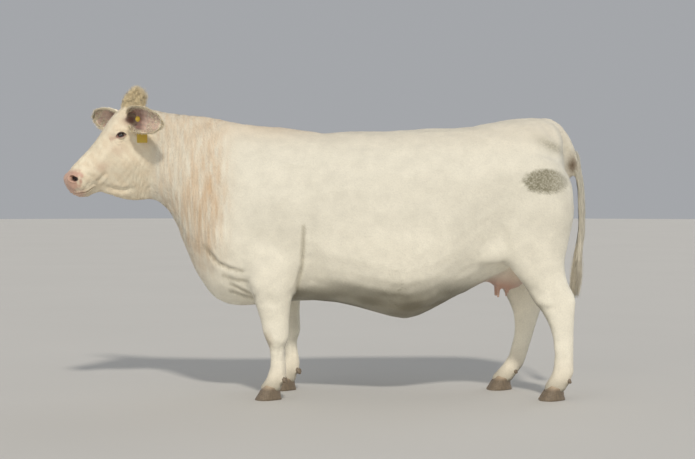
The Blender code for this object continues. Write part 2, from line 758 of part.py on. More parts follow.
def slab(name, point, normal, towards, size=4.0):
    """A large block whose one face passes a point and which lies on the side given."""
    normal = Vector(normal).normalized() * (1 if towards > 0 else -1)
    shape = bmesh.new()
    bmesh.ops.create_cube(shape, size=size)
    turn = Vector((0, 0, 1)).rotation_difference(normal).to_matrix().to_4x4()
    place = Matrix.Translation(Vector(point) + normal * (size / 2 - GAP / 2)) @ turn
    bmesh.ops.transform(shape, matrix=place, verts=shape.verts[:])
    mesh = bpy.data.meshes.new(name)
    shape.to_mesh(mesh)
    shape.free()
    made = bpy.data.objects.new(name, mesh)
    bpy.context.collection.objects.link(made)
    return made


def part_at(item, name, point, normal):
    """Parts an object at a plane: what lies along the normal becomes a new object."""
    made = copy_of(item, name)
    combine(made, [slab("cut", point, normal, -1)], "DIFFERENCE")
    combine(item, [slab("cut", point, normal, 1)], "DIFFERENCE")
    return made


def block(name, low, high):
    low, high = Vector(low), Vector(high)
    shape = bmesh.new()
    bmesh.ops.create_cube(shape, size=1.0)
    place = Matrix.Translation((low + high) / 2) @ Matrix.Diagonal((*(high - low), 1.0))
    bmesh.ops.transform(shape, matrix=place, verts=shape.verts[:])
    mesh = bpy.data.meshes.new(name)
    shape.to_mesh(mesh)
    shape.free()
    made = bpy.data.objects.new(name, mesh)
    bpy.context.collection.objects.link(made)
    return made


def take_block(item, name, low, high):
    """Takes what lies in a box out of an object, as a new object with a gap round it."""
    margin = Vector((GAP, GAP, GAP))
    made = copy_of(item, name)
    combine(made, [block("inside", low, high)], "INTERSECT")
    combine(item, [block("outside", Vector(low) - margin, Vector(high) + margin)], "DIFFERENCE")
    return made


def coronet_height(x, middle_x):
    return CANNON_CUT_HEIGHT - (x - middle_x) * CORONET_SLOPE


def foot_places():
    """Name, middle x and y, and side of each foot."""
    feet = []
    for name, table, stride in (("front", FORELEG, FORELEG_STRIDE), ("hind", HIND_LEG, HIND_LEG_STRIDE)):
        _, front, back, middle_y, _ = table[-2]
        for side, word in ((-1, "left"), (1, "right")):
            shift = stride_at(stride, 0.05) if side > 0 else 0.0
            feet.append((f"{name}_{word}", (front + back) / 2 + shift, side * middle_y, side))
    return feet


def claw(name, middle_x, middle_y, side, outer):
    """One claw of a foot: flat below, its top cut along the coronet."""
    away = side if outer else -side
    rings = []
    half_split = 0.0035
    sides = 16
    for share in (0.0, 0.06, 0.5, 1.0):
        ring = []
        toe = -CLAW_LENGTH * 0.60 + 0.050 * share
        heel = CLAW_LENGTH * 0.40 + (0.004 if share == 0.06 else 0.0) - 0.006 * share
        width = CLAW_WIDTH * (1.0 - 0.10 * share) * (0.97 if share == 0 else 1.0)
        for step in range(sides):
            angle = 2 * math.pi * step / sides
            along_foot = (1 - math.cos(angle)) / 2
            x = toe + (heel - toe) * along_foot
            bulge = math.sin(math.pi * along_foot**0.72) ** 0.75 if 0 < along_foot < 1 else 0.0
            if math.sin(angle) >= 0:
                y = half_split + (0.010 - 0.006 * share) * (1 - along_foot) + width * bulge
            else:
                y = half_split + (0.010 - 0.006 * share) * (1 - along_foot) - 0.0005 * bulge
            place_x = middle_x + x
            top = coronet_height(place_x, middle_x) - GAP
            ring.append((place_x, middle_y + away * y, top * share))
        rings.append(ring)
    return loft(name, rings)


def dewclaw(name, leg_x, leg_y, side, away):
    """A small blunt cone behind the fetlock, pointing back and down."""
    root = np.array((leg_x + 0.022, leg_y + away * 0.021, 0.112))
    way = np.array((0.62, away * 0.30, -0.66))
    way /= np.linalg.norm(way)
    across = np.cross(way, (0, 0, 1.0))
    across /= np.linalg.norm(across)
    face = np.cross(across, way)
    rings = []
    for share, radius in ((0.0, 0.012), (0.70, 0.0120), (1.0, 0.005)):
        middle = root + way * 0.040 * share
        rings.append([
            middle + (across * math.cos(a) + face * math.sin(a)) * radius
            for a in (2 * math.pi * step / 7 for step in range(7))
        ])
    return loft(name, rings)


def tube(name, path, radii, sides=12):
    """A round tube along points, its frame carried without twist."""
    path = np.array(path)
    runs = np.gradient(path, axis=0)
    across = np.array((0, 1.0, 0))
    rings = []
    for middle, run, radius in zip(path, runs, radii):
        run = run / np.linalg.norm(run)
        across = across - run * (across @ run)
        across /= np.linalg.norm(across)
        face = np.cross(run, across)
        rings.append([
            middle + (across * math.cos(a) + face * math.sin(a)) * radius
            for a in (2 * math.pi * step / sides for step in range(sides))
        ])
    return loft(name, rings)


def tail():
    rows = between(TAIL, 2)
    path = [(x, 0.0, z) for x, z, _ in rows]
    return tube("tail", path, [radius for _, _, radius in rows])


def switch_locks():
    """Long locks round the end of the tail, hanging and drawing together."""
    draw = np.random.default_rng(9)
    made = []
    for index in range(SWITCH_LOCKS):
        angle = index * math.radians(137.5)
        height = 0.70 - 0.13 * (index / SWITCH_LOCKS)
        out = np.array((math.cos(angle), math.sin(angle), 0.0))
        x = 1.247 - 0.05 * (0.70 - height)
        root = np.array((x, 0.0, height)) + out * 0.009
        length = (height - SWITCH_END) * (1.0 if index % 4 == 0 else 0.80 + 0.20 * draw.random())
        control = root + out * 0.012 + np.array((-0.004, 0, -length / 2))
        tip = root + out * 0.008 + np.array((-0.014, 0, -length)) + draw.normal(0, 0.004, 3) * (1, 1, 0)
        made.append(lock("lock", root, control, tip, 0.021, 0.009, out))
    return made


# Root, control point and tip of each ear, where the turned head is, and the cup's facing
EAR_LEFT = ((-0.952, -0.118, 1.341), (-0.927, -0.262, 1.354), (-0.768, -0.289, 1.313), (-0.45, -0.89, -0.08))
EAR_RIGHT = ((-0.980, 0.060, 1.322), (-1.062, 0.150, 1.362), (-1.162, 0.205, 1.362), (-0.50, -0.75, -0.40))
# Share along the ear, half width and depth of the cup, and how far round it rolls, in degrees
EAR_SHAPE = (
    (0.00, 0.027, 0.050, 150), (0.10, 0.034, 0.050, 125), (0.22, 0.050, 0.042, 100),
    (0.36, 0.061, 0.034, 88), (0.50, 0.063, 0.028, 86), (0.70, 0.060, 0.022, 86),
    (0.88, 0.047, 0.014, 86), (1.00, 0.024, 0.005, 86),
)
EAR_COLUMNS = 7
EAR_THICKNESS = 0.0046


def ear_frame(places, share):
    """The middle of the ear at a share of its length, its run, its width way and its facing."""
    root, control, tip, facing = (np.array(p) for p in places)
    middle = root * (1 - share) ** 2 + control * 2 * share * (1 - share) + tip * share**2
    run = (control - root) * 2 * (1 - share) + (tip - control) * 2 * share
    run /= np.linalg.norm(run)
    facing = facing - run * (facing @ run)
    facing /= np.linalg.norm(facing)
    return middle, run, np.cross(run, facing), facing


def ear_point(places, share, column, lift=0.0):
    """A point of the cup: column runs from -1 to 1 across it, lift along its facing."""
    shares, halves, depths, wraps = zip(*EAR_SHAPE)
    half, depth = np.interp(share, shares, halves), np.interp(share, shares, depths)
    middle, _, wide, facing = ear_frame(places, share)
    wrap = math.radians(np.interp(share, shares, wraps))
    side = math.sin(column * wrap) / math.sin(min(wrap, math.pi / 2))
    sink = (math.cos(column * wrap) - math.cos(wrap)) / (1 - math.cos(wrap))
    curl = facing * math.cos(column * wrap) - wide * math.sin(column * wrap)
    return middle + wide * side * half - facing * sink * depth + curl * lift


def ear(name, places):
    """A cupped ear: one thin shell, its two faces split into triangles alike."""
    shares = [0.0, 0.10, 0.22, 0.36, 0.50, 0.64, 0.78, 0.90, 0.97, 1.0]
    columns = [(-1 + 2 * c / (EAR_COLUMNS - 1)) for c in range(EAR_COLUMNS)]
    points = []
    for share in shares:
        thin = EAR_THICKNESS * (1.6 - 0.9 * share)
        for lift in (thin / 2, -thin / 2):
            for column in columns:
                edge = 0.55 + 0.45 * (1 - abs(column) ** 4)
                points.append(ear_point(places, share, column, lift * edge))
    faces = []
    row = 2 * EAR_COLUMNS
    for ring in range(len(shares) - 1):
        for column in range(EAR_COLUMNS - 1):
            a = ring * row + column
            b, c, d = a + 1, a + row + 1, a + row
            faces += [(a, b, c), (a, c, d)]
            a, b, c, d = (corner + EAR_COLUMNS for corner in (a, b, c, d))
            faces += [(a, c, b), (a, d, c)]
        for column in (0, EAR_COLUMNS - 1):
            a = ring * row + column
            b, c, d = a + row, a + row + EAR_COLUMNS, a + EAR_COLUMNS
            faces += [(a, b, c), (a, c, d)] if column == 0 else [(a, c, b), (a, d, c)]
    for start, turned in ((0, False), ((len(shares) - 1) * row, True)):
        for column in range(EAR_COLUMNS - 1):
            a, b = start + column, start + column + 1
            quad = (a, a + EAR_COLUMNS, b + EAR_COLUMNS, b)
            faces += [quad[:3], (quad[0], quad[2], quad[3])] if not turned else [
                (quad[2], quad[1], quad[0]), (quad[3], quad[2], quad[0])]
    made = new_object(name, points, faces)
    face_out(made)
    return made


def ear_root(places):
    """What fills the rolled base of the ear, sunk in the head."""
    middle, run, _, facing = ear_frame(places, 0.0)
    centre = middle - facing * EAR_SHAPE[0][2] / 2
    path = [centre + run * step for step in (-0.030, -0.006, 0.014)]
    return tube("root", path, [0.0255, 0.0255, 0.012], 12)


def disc(name, middle, axis, radius, start, end, sides=20):
    axis = np.array(axis)
    across = np.cross(axis, (0, 0, 1.0))
    across /= np.linalg.norm(across)
    face = np.cross(across, axis)
    rings = []
    for shift in (start, end):
        rings.append([
            middle + axis * shift + (across * math.cos(a) + face * math.sin(a)) * radius
            for a in (2 * math.pi * step / sides for step in range(sides))
        ])
    return loft(name, rings)


def ear_tag(ear_item):
    """A button with its pin through the ear, and a flag that hangs from the pin behind it."""
    facing = ear_frame(EAR_LEFT, TAG_UP_EAR)[3] + np.array((0, -TAG_LEAN, 0))
    facing /= np.linalg.norm(facing)
    place = ear_point(EAR_LEFT, TAG_UP_EAR, 0.0)
    front, behind = 0.0110, -0.0130
    pin = disc("pin", place, facing, 0.0026, behind - 0.006, front + 0.001, 10)
    seat(ear_item, pin, 0.0005)
    button = disc("ear_tag_button", place, facing, 0.0135, front, front + 0.0035)
    boss = disc("boss", place, facing, 0.006, front + 0.003, front + 0.0065, 12)
    foot = disc("pin_end", place, facing, 0.0050, behind - 0.0085, behind - 0.005, 10)
    combine(button, [pin, boss, foot], "UNION")
    # The flag hangs upright: a narrow neck at the pin that widens to a plate
    level = np.cross((0, 0, 1.0), facing)
    level /= np.linalg.norm(level)
    down = np.cross(level, facing)
    down /= np.linalg.norm(down) * math.copysign(1, -down[2])
    outline = []
    for x, y in ((-0.012, -0.012), (0.012, -0.012), (0.014, 0.022), (0.0315, 0.042), (0.0315, 0.110),
                 (0.0275, 0.114), (-0.0275, 0.114), (-0.0315, 0.110), (-0.0315, 0.042), (-0.014, 0.022)):
        outline.append(place + level * x + down * y)
    hole = disc("hole", place, facing, 0.0026 + GAP, behind - 0.02, behind + 0.02, 10)
    flag = prism("ear_tag_flag", np.array(outline), facing * (behind - 0.0045), facing * (behind - 0.0025))
    combine(flag, [hole], "DIFFERENCE")
    return button, flag


def teat(name, x, y, top):
    rings = []
    for drop, radius in ((-0.02, 0.014), (0.02, 0.0120), (0.045, 0.0105), (0.055, 0.006)):
        rings.append([
            (x + radius * math.cos(a), y + radius * math.sin(a), top - drop)
            for a in (2 * math.pi * step / 8 for step in range(8))
        ])
    return loft(name, rings)


def build():
    clear_scene()
    coat = material("coat", (0.82, 0.76, 0.66), 0.8)
    bare_skin = material("bare skin", (0.72, 0.47, 0.40), 0.6)
    horn = material("horn", (0.30, 0.24, 0.19), 0.5)
    wet_eye = material("eye", (0.03, 0.02, 0.02), 0.1)
    tag_yellow = material("tag", (0.70, 0.60, 0.05), 0.4)
    nodes = []

    def finish(item, name, look):
        item.name = name
        item.data.name = name
        item.data.materials.clear()
        item.data.materials.append(look)
        set_points(item, mesh_points(item) - np.array(CENTRE))
        nodes.append(item)

    # Flesh of trunk, neck and legs
    whole = body()
    thin_out(whole, BODY_TRIANGLES)

    # Claws take the place of the flesh below the coronet
    feet = foot_places()
    legs = {}
    boxes = {"front": ((-0.46, -0.045), 0.575), "hind": ((0.70, 1.35), 0.665)}
    for name, middle_x, middle_y, side in feet:
        pair = name.split("_")[0]
        (low_x, high_x), top = boxes[pair]
        inner = 0.105 if pair == "front" else 0.090
        low = (low_x, min(side * inner, side * 0.6), -0.1)
        high = (high_x, max(side * inner, side * 0.6), top)
        legs[name] = take_block(whole, name + "_leg", low, high)
        tip = legs[name]
        normal = Vector((CORONET_SLOPE, 0, 1))
        combine(tip, [slab("sole", (middle_x, middle_y, CANNON_CUT_HEIGHT), normal, -1)], "DIFFERENCE")
    udder = take_block(whole, "udder", (0.76, -0.0897, 0.40), (1.0, 0.0897, 0.585))

    for name, middle_x, middle_y, side in feet:
        leg = legs[name]
        for outer, word in ((True, "outer"), (False, "inner")):
            made = claw(f"{name}_claw_{word}", middle_x, middle_y, side, outer)
            finish(made, made.name, horn)
            away = side if outer else -side
            spur = dewclaw(f"{name}_dewclaw_{word}", middle_x + 0.028, middle_y, side, away)
            seat(leg, spur)
            finish(spur, spur.name, horn)
        finish(leg, name + "_leg", coat)

    teats = [teat("teat", 0.842, y, 0.530) for y in (-0.055, 0.055)]
    teats += [teat("teat", 0.893, y, 0.528) for y in (-0.045, 0.045)]
    combine(udder, teats, "UNION")
    finish(udder, "udder", bare_skin)

    # Head, in its own frame first
    head, eyes = head_skin()
    surface = surface_of(head)
    cutters = [mouth_cutter(surface)] + [nostril_cutter(surface, side) for side in (-1, 1)]
    locks = tuft_locks(surface)
    thin_out(head, HEAD_TRIANGLES)
    for cutter in cutters:
        combine(head, [cutter], "DIFFERENCE")
    balls = {}
    for side, word in ((-1, "left"), (1, "right")):
        centre, axis = eyes[side]
        balls[word] = ball("eye_" + word, centre, axis, EYE_RADIUS, bulge=0.0006)
        combine(head, [grown(balls[word]), lid_opening(centre, axis)], "DIFFERENCE")
    combine(head, locks, "UNION", "MANIFOLD")
    for item in (head, *balls.values()):
        set_points(item, turn_head(mesh_points(item)))

    # The head is parted from the neck, and the neck from the torso
    nape, nape_way = (-0.872, 0.0, 1.2), (-0.985, -0.17, 0.0)
    combine(head, [slab("cut", nape, nape_way, -1)], "DIFFERENCE", "MANIFOLD")
    combine(whole, [slab("cut", nape, nape_way, 1)], "DIFFERENCE")
    neck = part_at(whole, "neck", (-0.56, 0.0, 1.0), (-0.958, 0.0, 0.289))

    # Ears, sunk in the head
    for name, places in (("ear_left", EAR_LEFT), ("ear_right", EAR_RIGHT)):
        made, root = ear(name, places), ear_root(places)
        for piece in (made, root):
            seat(head, piece, solver="MANIFOLD")
        combine(made, [root], "UNION")
        if name == "ear_left":
            button, flag = ear_tag(made)
            finish(button, "ear_tag_button", tag_yellow)
            finish(flag, "ear_tag_flag", tag_yellow)
        finish(made, name, coat)

    # Tail, in three lengths, its root sunk in the rump
    upper = tail()
    seat(whole, upper)
    lower = part_at(upper, "tail_lower", (1.25, 0.0, TAIL_CUTS[0]), (0, 0, -1))
    switch = part_at(lower, "tail_switch", (1.25, 0.0, TAIL_CUTS[1]), (0, 0, -1))
    combine(switch, switch_locks(), "UNION")
    combine(switch, [slab("cut", (1.25, 0, TAIL_CUTS[1]), (0, 0, -1), -1)], "DIFFERENCE")

    finish(upper, "tail_upper", coat)
    finish(lower, "tail_lower", coat)
    finish(switch, "tail_switch", coat)
    finish(whole, "torso", coat)
    finish(neck, "neck", coat)
    finish(head, "head", coat)
    for word, made in balls.items():
        finish(made, "eye_" + word, wet_eye)

    for item in nodes:
        item.data.shade_smooth()
        item.data.set_sharp_from_angle(angle=math.radians(50))
        triangles = sum(len(face.vertices) - 2 for face in item.data.polygons)
        print(item.name, triangles)


build()
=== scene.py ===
"""Looks of a life-size Charolais cow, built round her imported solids.

Row frame, in metres: she faces -X, her left side is at -Y, and the floor is at z = 0.
One hide replaces the solids of flesh. The coat over it is solid mesh, in tufts that follow
the lie of the hair, and hide and coat take their colours from the same functions of place.
"""

import json
import math

import bmesh
import bpy
import numpy as np
from mathutils import Matrix, Vector
from mathutils.bvhtree import BVHTree

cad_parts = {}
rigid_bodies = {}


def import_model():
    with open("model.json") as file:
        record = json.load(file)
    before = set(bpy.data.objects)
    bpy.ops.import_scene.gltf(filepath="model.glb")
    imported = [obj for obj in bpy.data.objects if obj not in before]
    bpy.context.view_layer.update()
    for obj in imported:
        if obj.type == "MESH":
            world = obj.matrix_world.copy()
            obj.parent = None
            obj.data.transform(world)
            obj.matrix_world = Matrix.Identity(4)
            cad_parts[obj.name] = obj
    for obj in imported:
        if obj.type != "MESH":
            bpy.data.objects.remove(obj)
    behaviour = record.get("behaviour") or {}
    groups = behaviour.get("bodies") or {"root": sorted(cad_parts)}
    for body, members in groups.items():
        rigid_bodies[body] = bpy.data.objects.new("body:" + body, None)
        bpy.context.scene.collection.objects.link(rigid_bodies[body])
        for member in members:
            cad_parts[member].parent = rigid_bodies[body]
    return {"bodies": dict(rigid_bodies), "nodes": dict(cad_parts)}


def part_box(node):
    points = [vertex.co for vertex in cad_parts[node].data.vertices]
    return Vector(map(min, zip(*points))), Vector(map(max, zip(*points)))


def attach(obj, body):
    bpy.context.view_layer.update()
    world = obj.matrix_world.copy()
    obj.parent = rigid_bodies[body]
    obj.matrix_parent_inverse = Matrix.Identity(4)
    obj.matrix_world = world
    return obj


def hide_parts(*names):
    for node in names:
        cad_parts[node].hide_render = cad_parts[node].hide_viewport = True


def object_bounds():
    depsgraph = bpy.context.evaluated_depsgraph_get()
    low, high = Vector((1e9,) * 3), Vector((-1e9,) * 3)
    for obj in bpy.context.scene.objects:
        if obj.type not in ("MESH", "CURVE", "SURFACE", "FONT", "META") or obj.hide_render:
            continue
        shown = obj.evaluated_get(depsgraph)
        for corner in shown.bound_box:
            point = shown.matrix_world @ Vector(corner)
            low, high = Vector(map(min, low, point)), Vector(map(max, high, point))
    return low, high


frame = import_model()
CAD_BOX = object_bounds()

bl_info = {
    "name": "Charolais Cow",
    "version": (1, 0, 0),
    "blender": (4, 5, 0),
    "location": "View3D > Sidebar > Cow",
    "description": "Builds the hide, coat, ears, eyes, hooves and tag of a life-size cow",
    "category": "Object",
}

HEAD_PIVOT = np.array((-0.8048, 0.0001, 0.0))
HEAD_TURN = math.radians(17)
EYE_RADIUS = 0.0220
FEET = ("front_left", "front_right", "hind_left", "hind_right")
FLESH = ("torso", "neck", "head", "udder", "tail_upper", "tail_lower", *(foot + "_leg" for foot in FEET))
CLAWS = tuple(f"{foot}_claw_{word}" for foot in FEET for word in ("inner", "outer"))
DEWCLAWS = tuple(f"{foot}_dewclaw_{word}" for foot in FEET for word in ("inner", "outer"))
GOLDEN = math.radians(137.5)
TUFT_REACH, TUFT_RADIUS, TUFT_TOP = 0.140, 0.054, 1.516  # ahead of the head's pivot, half width, height
SWITCH_END = 0.475
TUFT_HEIGHTS = ((0.5, 0.0004), (1.0, 0.0001))  # a coat tuft's height above the skin at shares of its length
TUFT_TRIANGLES, PIECE_TRIANGLES = 10, 185000  # of one coat tuft, and the most for one piece of coat


def linear(hex_colour):
    """Linear RGB of an sRGB hex value."""
    parts = [int(hex_colour[i : i + 2], 16) / 255 for i in (1, 3, 5)]
    return tuple(c / 12.92 if c <= 0.04045 else ((c + 0.055) / 1.055) ** 2.4 for c in parts)


def colour_prop(name, hex_colour, description):
    return bpy.props.FloatVectorProperty(
        name=name, description=description, default=linear(hex_colour), subtype="COLOR", min=0, max=1)


def length_prop(name, metres, description):
    return bpy.props.FloatProperty(name=name, description=description, default=metres, unit="LENGTH")


class CowHide(bpy.types.PropertyGroup):
    grain: length_prop("Grain", 0.0130, "Spacing of the hide's mesh on the body")
    coat_depth: length_prop("Coat depth", 0.0030, "How far the hide lies inside the solids")
    cream: colour_prop("Cream", "#E6E1D0", "The coat of her sides")
    tan: colour_prop("Tan", "#C9A377", "The warm tint of neck, brisket and topline")
    muzzle: colour_prop("Muzzle", "#C79C88", "Bare skin of the muzzle")
    lids: colour_prop("Lids", "#B98279", "Bare skin round the eyes")
    udder: colour_prop("Udder", "#B98772", "Skin of udder and teats")
    # Painted shade inside the nostrils
    dark: colour_prop("Dark", "#2B1A17", "Inside the nostrils and between the lips")
    mud: colour_prop("Mud", "#7C775F", "Dried mud on the thigh")
    stain: colour_prop("Stain", "#A98A5F", "Stains of the knees and under the tail")
    # Dirt of belly and feet, and painted shade on the belly's underside
    grime_and_shade: colour_prop("Grime", "#5F583F", "Dirt along the belly")


class CowCoat(bpy.types.PropertyGroup):
    per_metre: bpy.props.FloatProperty(
        name="Density", description="Tufts to the square metre on her sides", default=12000)
    body_length: length_prop("Body length", 0.017, "Length of a tuft on her sides")
    neck_length: length_prop("Neck length", 0.026, "Length of a tuft on her neck")
    face_length: length_prop("Face length", 0.0085, "Length of a tuft on her face")
    leg_length: length_prop("Leg length", 0.013, "Length of a tuft on her lower legs")
    width: length_prop("Width", 0.0026, "Width of a tuft on her sides")
    tuft: colour_prop("Poll tuft", "#F3DFB4", "The curly hair of the poll")
    switch: colour_prop("Switch", "#E8DFCA", "The long hair of the tail")


class CowHead(bpy.types.PropertyGroup):
    iris: colour_prop("Iris", "#2E1B12", "The iris of the eye")
    ear_skin: colour_prop("Ear skin", "#8C695C", "Bare skin inside the ears")
    ear_lobe: colour_prop("Ear lobe", "#C7AC9C", "Thinly haired skin towards the ear's tip")
    ear_hair: colour_prop("Ear hair", "#FFF2D8", "Hair of the ears")
    lash: colour_prop("Lashes", "#8A8078", "Eyelashes")
    tag: colour_prop("Tag", "#C4A637", "The tag's plastic")


class CowFeet(bpy.types.PropertyGroup):
    grain: length_prop("Grain", 0.0027, "Spacing of the hooves' mesh")
    horn: colour_prop("Horn", "#7D6F5D", "Horn of the hooves")


class CowStage(bpy.types.PropertyGroup):
    floor: colour_prop("Floor", "#CFCDC8", "The studio's floor")
    sky: colour_prop("Surroundings", "#E0E3E8", "Light from all round")


def smooth_step(value, low, high):
    t = np.clip((value - low) / (high - low), 0, 1)
    return t * t * (3 - 2 * t)


def near(points, centre, radii):
    """1 at a centre, falling to nothing past its radii."""
    away = (points - np.array(centre)) / np.array(radii)
    return np.exp(-np.sum(away * away, axis=-1))


def bell(values, middle, width):
    """1 at a middle value, falling to nothing past its width."""
    return np.exp(-(((values - middle) / width) ** 2))


def unit(vectors):
    return vectors / np.maximum(np.linalg.norm(vectors, axis=-1, keepdims=True), 1e-9)


def to_head(points):
    """Reach ahead of the pivot, distance across and height, in the turned head's own frame."""
    away = np.asarray(points) - HEAD_PIVOT
    cos, sin = math.cos(HEAD_TURN), math.sin(HEAD_TURN)
    x, y = away[..., 0] * cos + away[..., 1] * sin, away[..., 1] * cos - away[..., 0] * sin
    return np.stack((-x, y, away[..., 2]), axis=-1)


def from_head(places):
    """The row frame's points for places in the head's own frame."""
    return HEAD_PIVOT + head_way(places)


def head_way(ways):
    """The row frame's directions for ways in the head's own frame."""
    ways = np.asarray(ways, float)
    x, y, z = -ways[..., 0], ways[..., 1], ways[..., 2]
    cos, sin = math.cos(HEAD_TURN), math.sin(HEAD_TURN)
    return np.stack((x * cos - y * sin, x * sin + y * cos, z), axis=-1)


def ripple(points, size, seed, count=7):
    """Smooth waves of about a size, as a number round 0. The size may differ by axis."""
    draw = np.random.default_rng(seed)
    scaled = points / np.asarray(size, float)
    total = np.zeros(len(points))
    for _ in range(count):
        way = draw.normal(size=3)
        way *= 2 * math.pi * draw.uniform(0.6, 1.4) / np.linalg.norm(way)
        total += np.sin(scaled @ way + draw.uniform(0, 2 * math.pi))
    return total / math.sqrt(count)


def along_path(points, path):
    """Distance of each point to a path, and how far along the path it lies, from 0 to 1."""
    closest, share = np.full(len(points), np.inf), np.zeros(len(points))
    path = np.asarray(path, float)
    spans = np.linalg.norm(np.diff(path, axis=0), axis=1)
    done = 0.0
    for a, b, span in zip(path, path[1:], spans):
        run = b - a
        t = np.clip((points - a) @ run / (run @ run), 0, 1)
        away = np.linalg.norm(points - (a + t[:, None] * run), axis=1)
        share = np.where(away < closest, (done + t * span) / spans.sum(), share)
        closest = np.minimum(closest, away)
        done += span
    return closest, share


def path_distance(points, path):
    return along_path(points, path)[0]


def deselect():
    bpy.ops.object.select_all(action="DESELECT")


def activate(item):
    deselect()
    item.select_set(True)
    bpy.context.view_layer.objects.active = item


def add_object(name, mesh):
    made = bpy.data.objects.new(name, mesh)
    bpy.context.collection.objects.link(made)
    return made


def object_of(shape, name):
    """Makes an object of a bmesh, which is freed."""
    mesh = bpy.data.meshes.new(name)
    shape.to_mesh(mesh)
    shape.free()
    return add_object(name, mesh)


def smooth(item):
    activate(item)
    bpy.ops.object.shade_smooth()


def read_points(item):
    points = np.empty(len(item.data.vertices) * 3)
    item.data.vertices.foreach_get("co", points)
    return points.reshape(-1, 3)


def write_points(item, points):
    item.data.vertices.foreach_set("co", np.ascontiguousarray(points, np.float32).ravel())
    item.data.update()


def read_normals(item):
    normals = np.empty(len(item.data.vertices) * 3)
    item.data.vertex_normals.foreach_get("vector", normals)
    return normals.reshape(-1, 3)


def edge_pairs(item):
    pairs = np.empty(len(item.data.edges) * 2, np.int64)
    item.data.edges.foreach_get("vertices", pairs)
    return pairs.reshape(-1, 2)


def relax(item, rounds, amount=None, shrink=0.5, swell_back=-0.52):
    """Evens the surface without thinning it, by an amount from 0 to 1 for each point."""
    points, pairs = read_points(item), edge_pairs(item)
    count = len(points)
    ends = np.concatenate([pairs[:, 0], pairs[:, 1]])
    others = np.concatenate([pairs[:, 1], pairs[:, 0]])
    shares = np.maximum(np.bincount(ends, minlength=count), 1)[:, None]
    weight = 1.0 if amount is None else amount[:, None]
    for _ in range(rounds):
        for step in (shrink, swell_back):
            mean = np.stack(
                [np.bincount(ends, weights=points[others, axis], minlength=count) for axis in range(3)],
                axis=1,
            ) / shares
            points = points + (mean - points) * step * weight
    write_points(item, points)


def keep_main_island(item):
    """Drops every shell of a mesh but the one with the most points."""
    count, pairs = len(item.data.vertices), edge_pairs(item)
    label = np.arange(count)
    while True:
        low = np.minimum(label[pairs[:, 0]], label[pairs[:, 1]])
        new = label.copy()
        np.minimum.at(new, pairs[:, 0], low)
        np.minimum.at(new, pairs[:, 1], low)
        new = new[new]
        if (new == label).all():
            break
        label = new
    names, sizes = np.unique(label, return_counts=True)
    if len(names) == 1:
        return
    keep = label == names[sizes.argmax()]
    shape = bmesh.new()
    shape.from_mesh(item.data)
    bmesh.ops.delete(shape, geom=[v for v, kept in zip(shape.verts, keep) if not kept], context="VERTS")
    shape.to_mesh(item.data)
    shape.free()


def joined_copy(names, swell=0.0005):
    """The merged meshes of CAD nodes, swollen a little so that touching ones overlap."""
    shape = bmesh.new()
    for name in names:
        shape.from_mesh(frame["nodes"][name].data)
    bmesh.ops.remove_doubles(shape, verts=shape.verts[:], dist=1e-5)
    shape.normal_update()
    for vert in shape.verts:
        vert.co += vert.normal * swell
    return shape


def shape_of(points, faces):
    """A bmesh of points, and of faces that name them."""
    shape = bmesh.new()
    verts = [shape.verts.new(point) for point in points]
    for face in faces:
        shape.faces.new([verts[i] for i in face])
    return shape


def voxel_remesh(item, grain):
    activate(item)
    bpy.ops.object.modifier_add(type="REMESH")
    item.modifiers[-1].mode = "VOXEL"
    item.modifiers[-1].voxel_size = grain
    bpy.ops.object.modifier_apply(modifier=item.modifiers[-1].name)
    keep_main_island(item)


def refine(item, wanted):
    """Splits each face whose points are all wanted into four, and smooths what is new."""
    shape = bmesh.new()
    shape.from_mesh(item.data)
    chosen = [f for f in shape.faces if all(wanted[v.index] for v in f.verts)]
    edges = list({edge for face in chosen for edge in face.edges})
    bmesh.ops.subdivide_edges(shape, edges=edges, cuts=1, use_grid_fill=True)
    bmesh.ops.triangulate(shape, faces=[f for f in shape.faces if len(f.verts) > 4])
    shape.to_mesh(item.data)
    shape.free()


def put(item, name, values):
    """Stores a number or a colour for each point of a mesh."""
    if values.ndim == 1:
        layer = item.data.attributes.new(name, "FLOAT", "POINT")
        layer.data.foreach_set("value", np.ascontiguousarray(values, np.float32))
    else:
        layer = item.data.attributes.new(name, "FLOAT_COLOR", "POINT")
        rgba = np.ones((len(values), 4), np.float32)
        rgba[:, :3] = values
        layer.data.foreach_set("color", rgba.ravel())


RANGE = ("Value", "From Min", "From Max", "To Min", "To Max")  # sockets of a Map Range node


def add_node(tree, kind, inputs=None, output=0, **settings):
    """Adds a shader node, sets it, fills its sockets with values or links, and gives one output."""
    made = tree.nodes.new("ShaderNode" + kind)
    for name, value in settings.items():
        setattr(made, name, value)
    for socket, value in (inputs or {}).items():
        if isinstance(value, bpy.types.NodeSocket):
            tree.links.new(value, made.inputs[socket])
        else:
            made.inputs[socket].default_value = value
    return made.outputs[output]


def new_material(name, stored=True, **constants):
    """A Principled material, its constants set on the shader's own sockets, in its mesh's stored colours."""
    made = bpy.data.materials.new(name)
    made.use_nodes = True
    tree, sockets = made.node_tree, made.node_tree.nodes["Principled BSDF"].inputs
    for socket, value in constants.items():
        sockets[socket.replace("_", " ")].default_value = value
    if stored:
        colour = add_node(tree, "Attribute", output="Color", attribute_name="hide")
        tree.links.new(colour, sockets["Base Color"])
    return made, tree, sockets


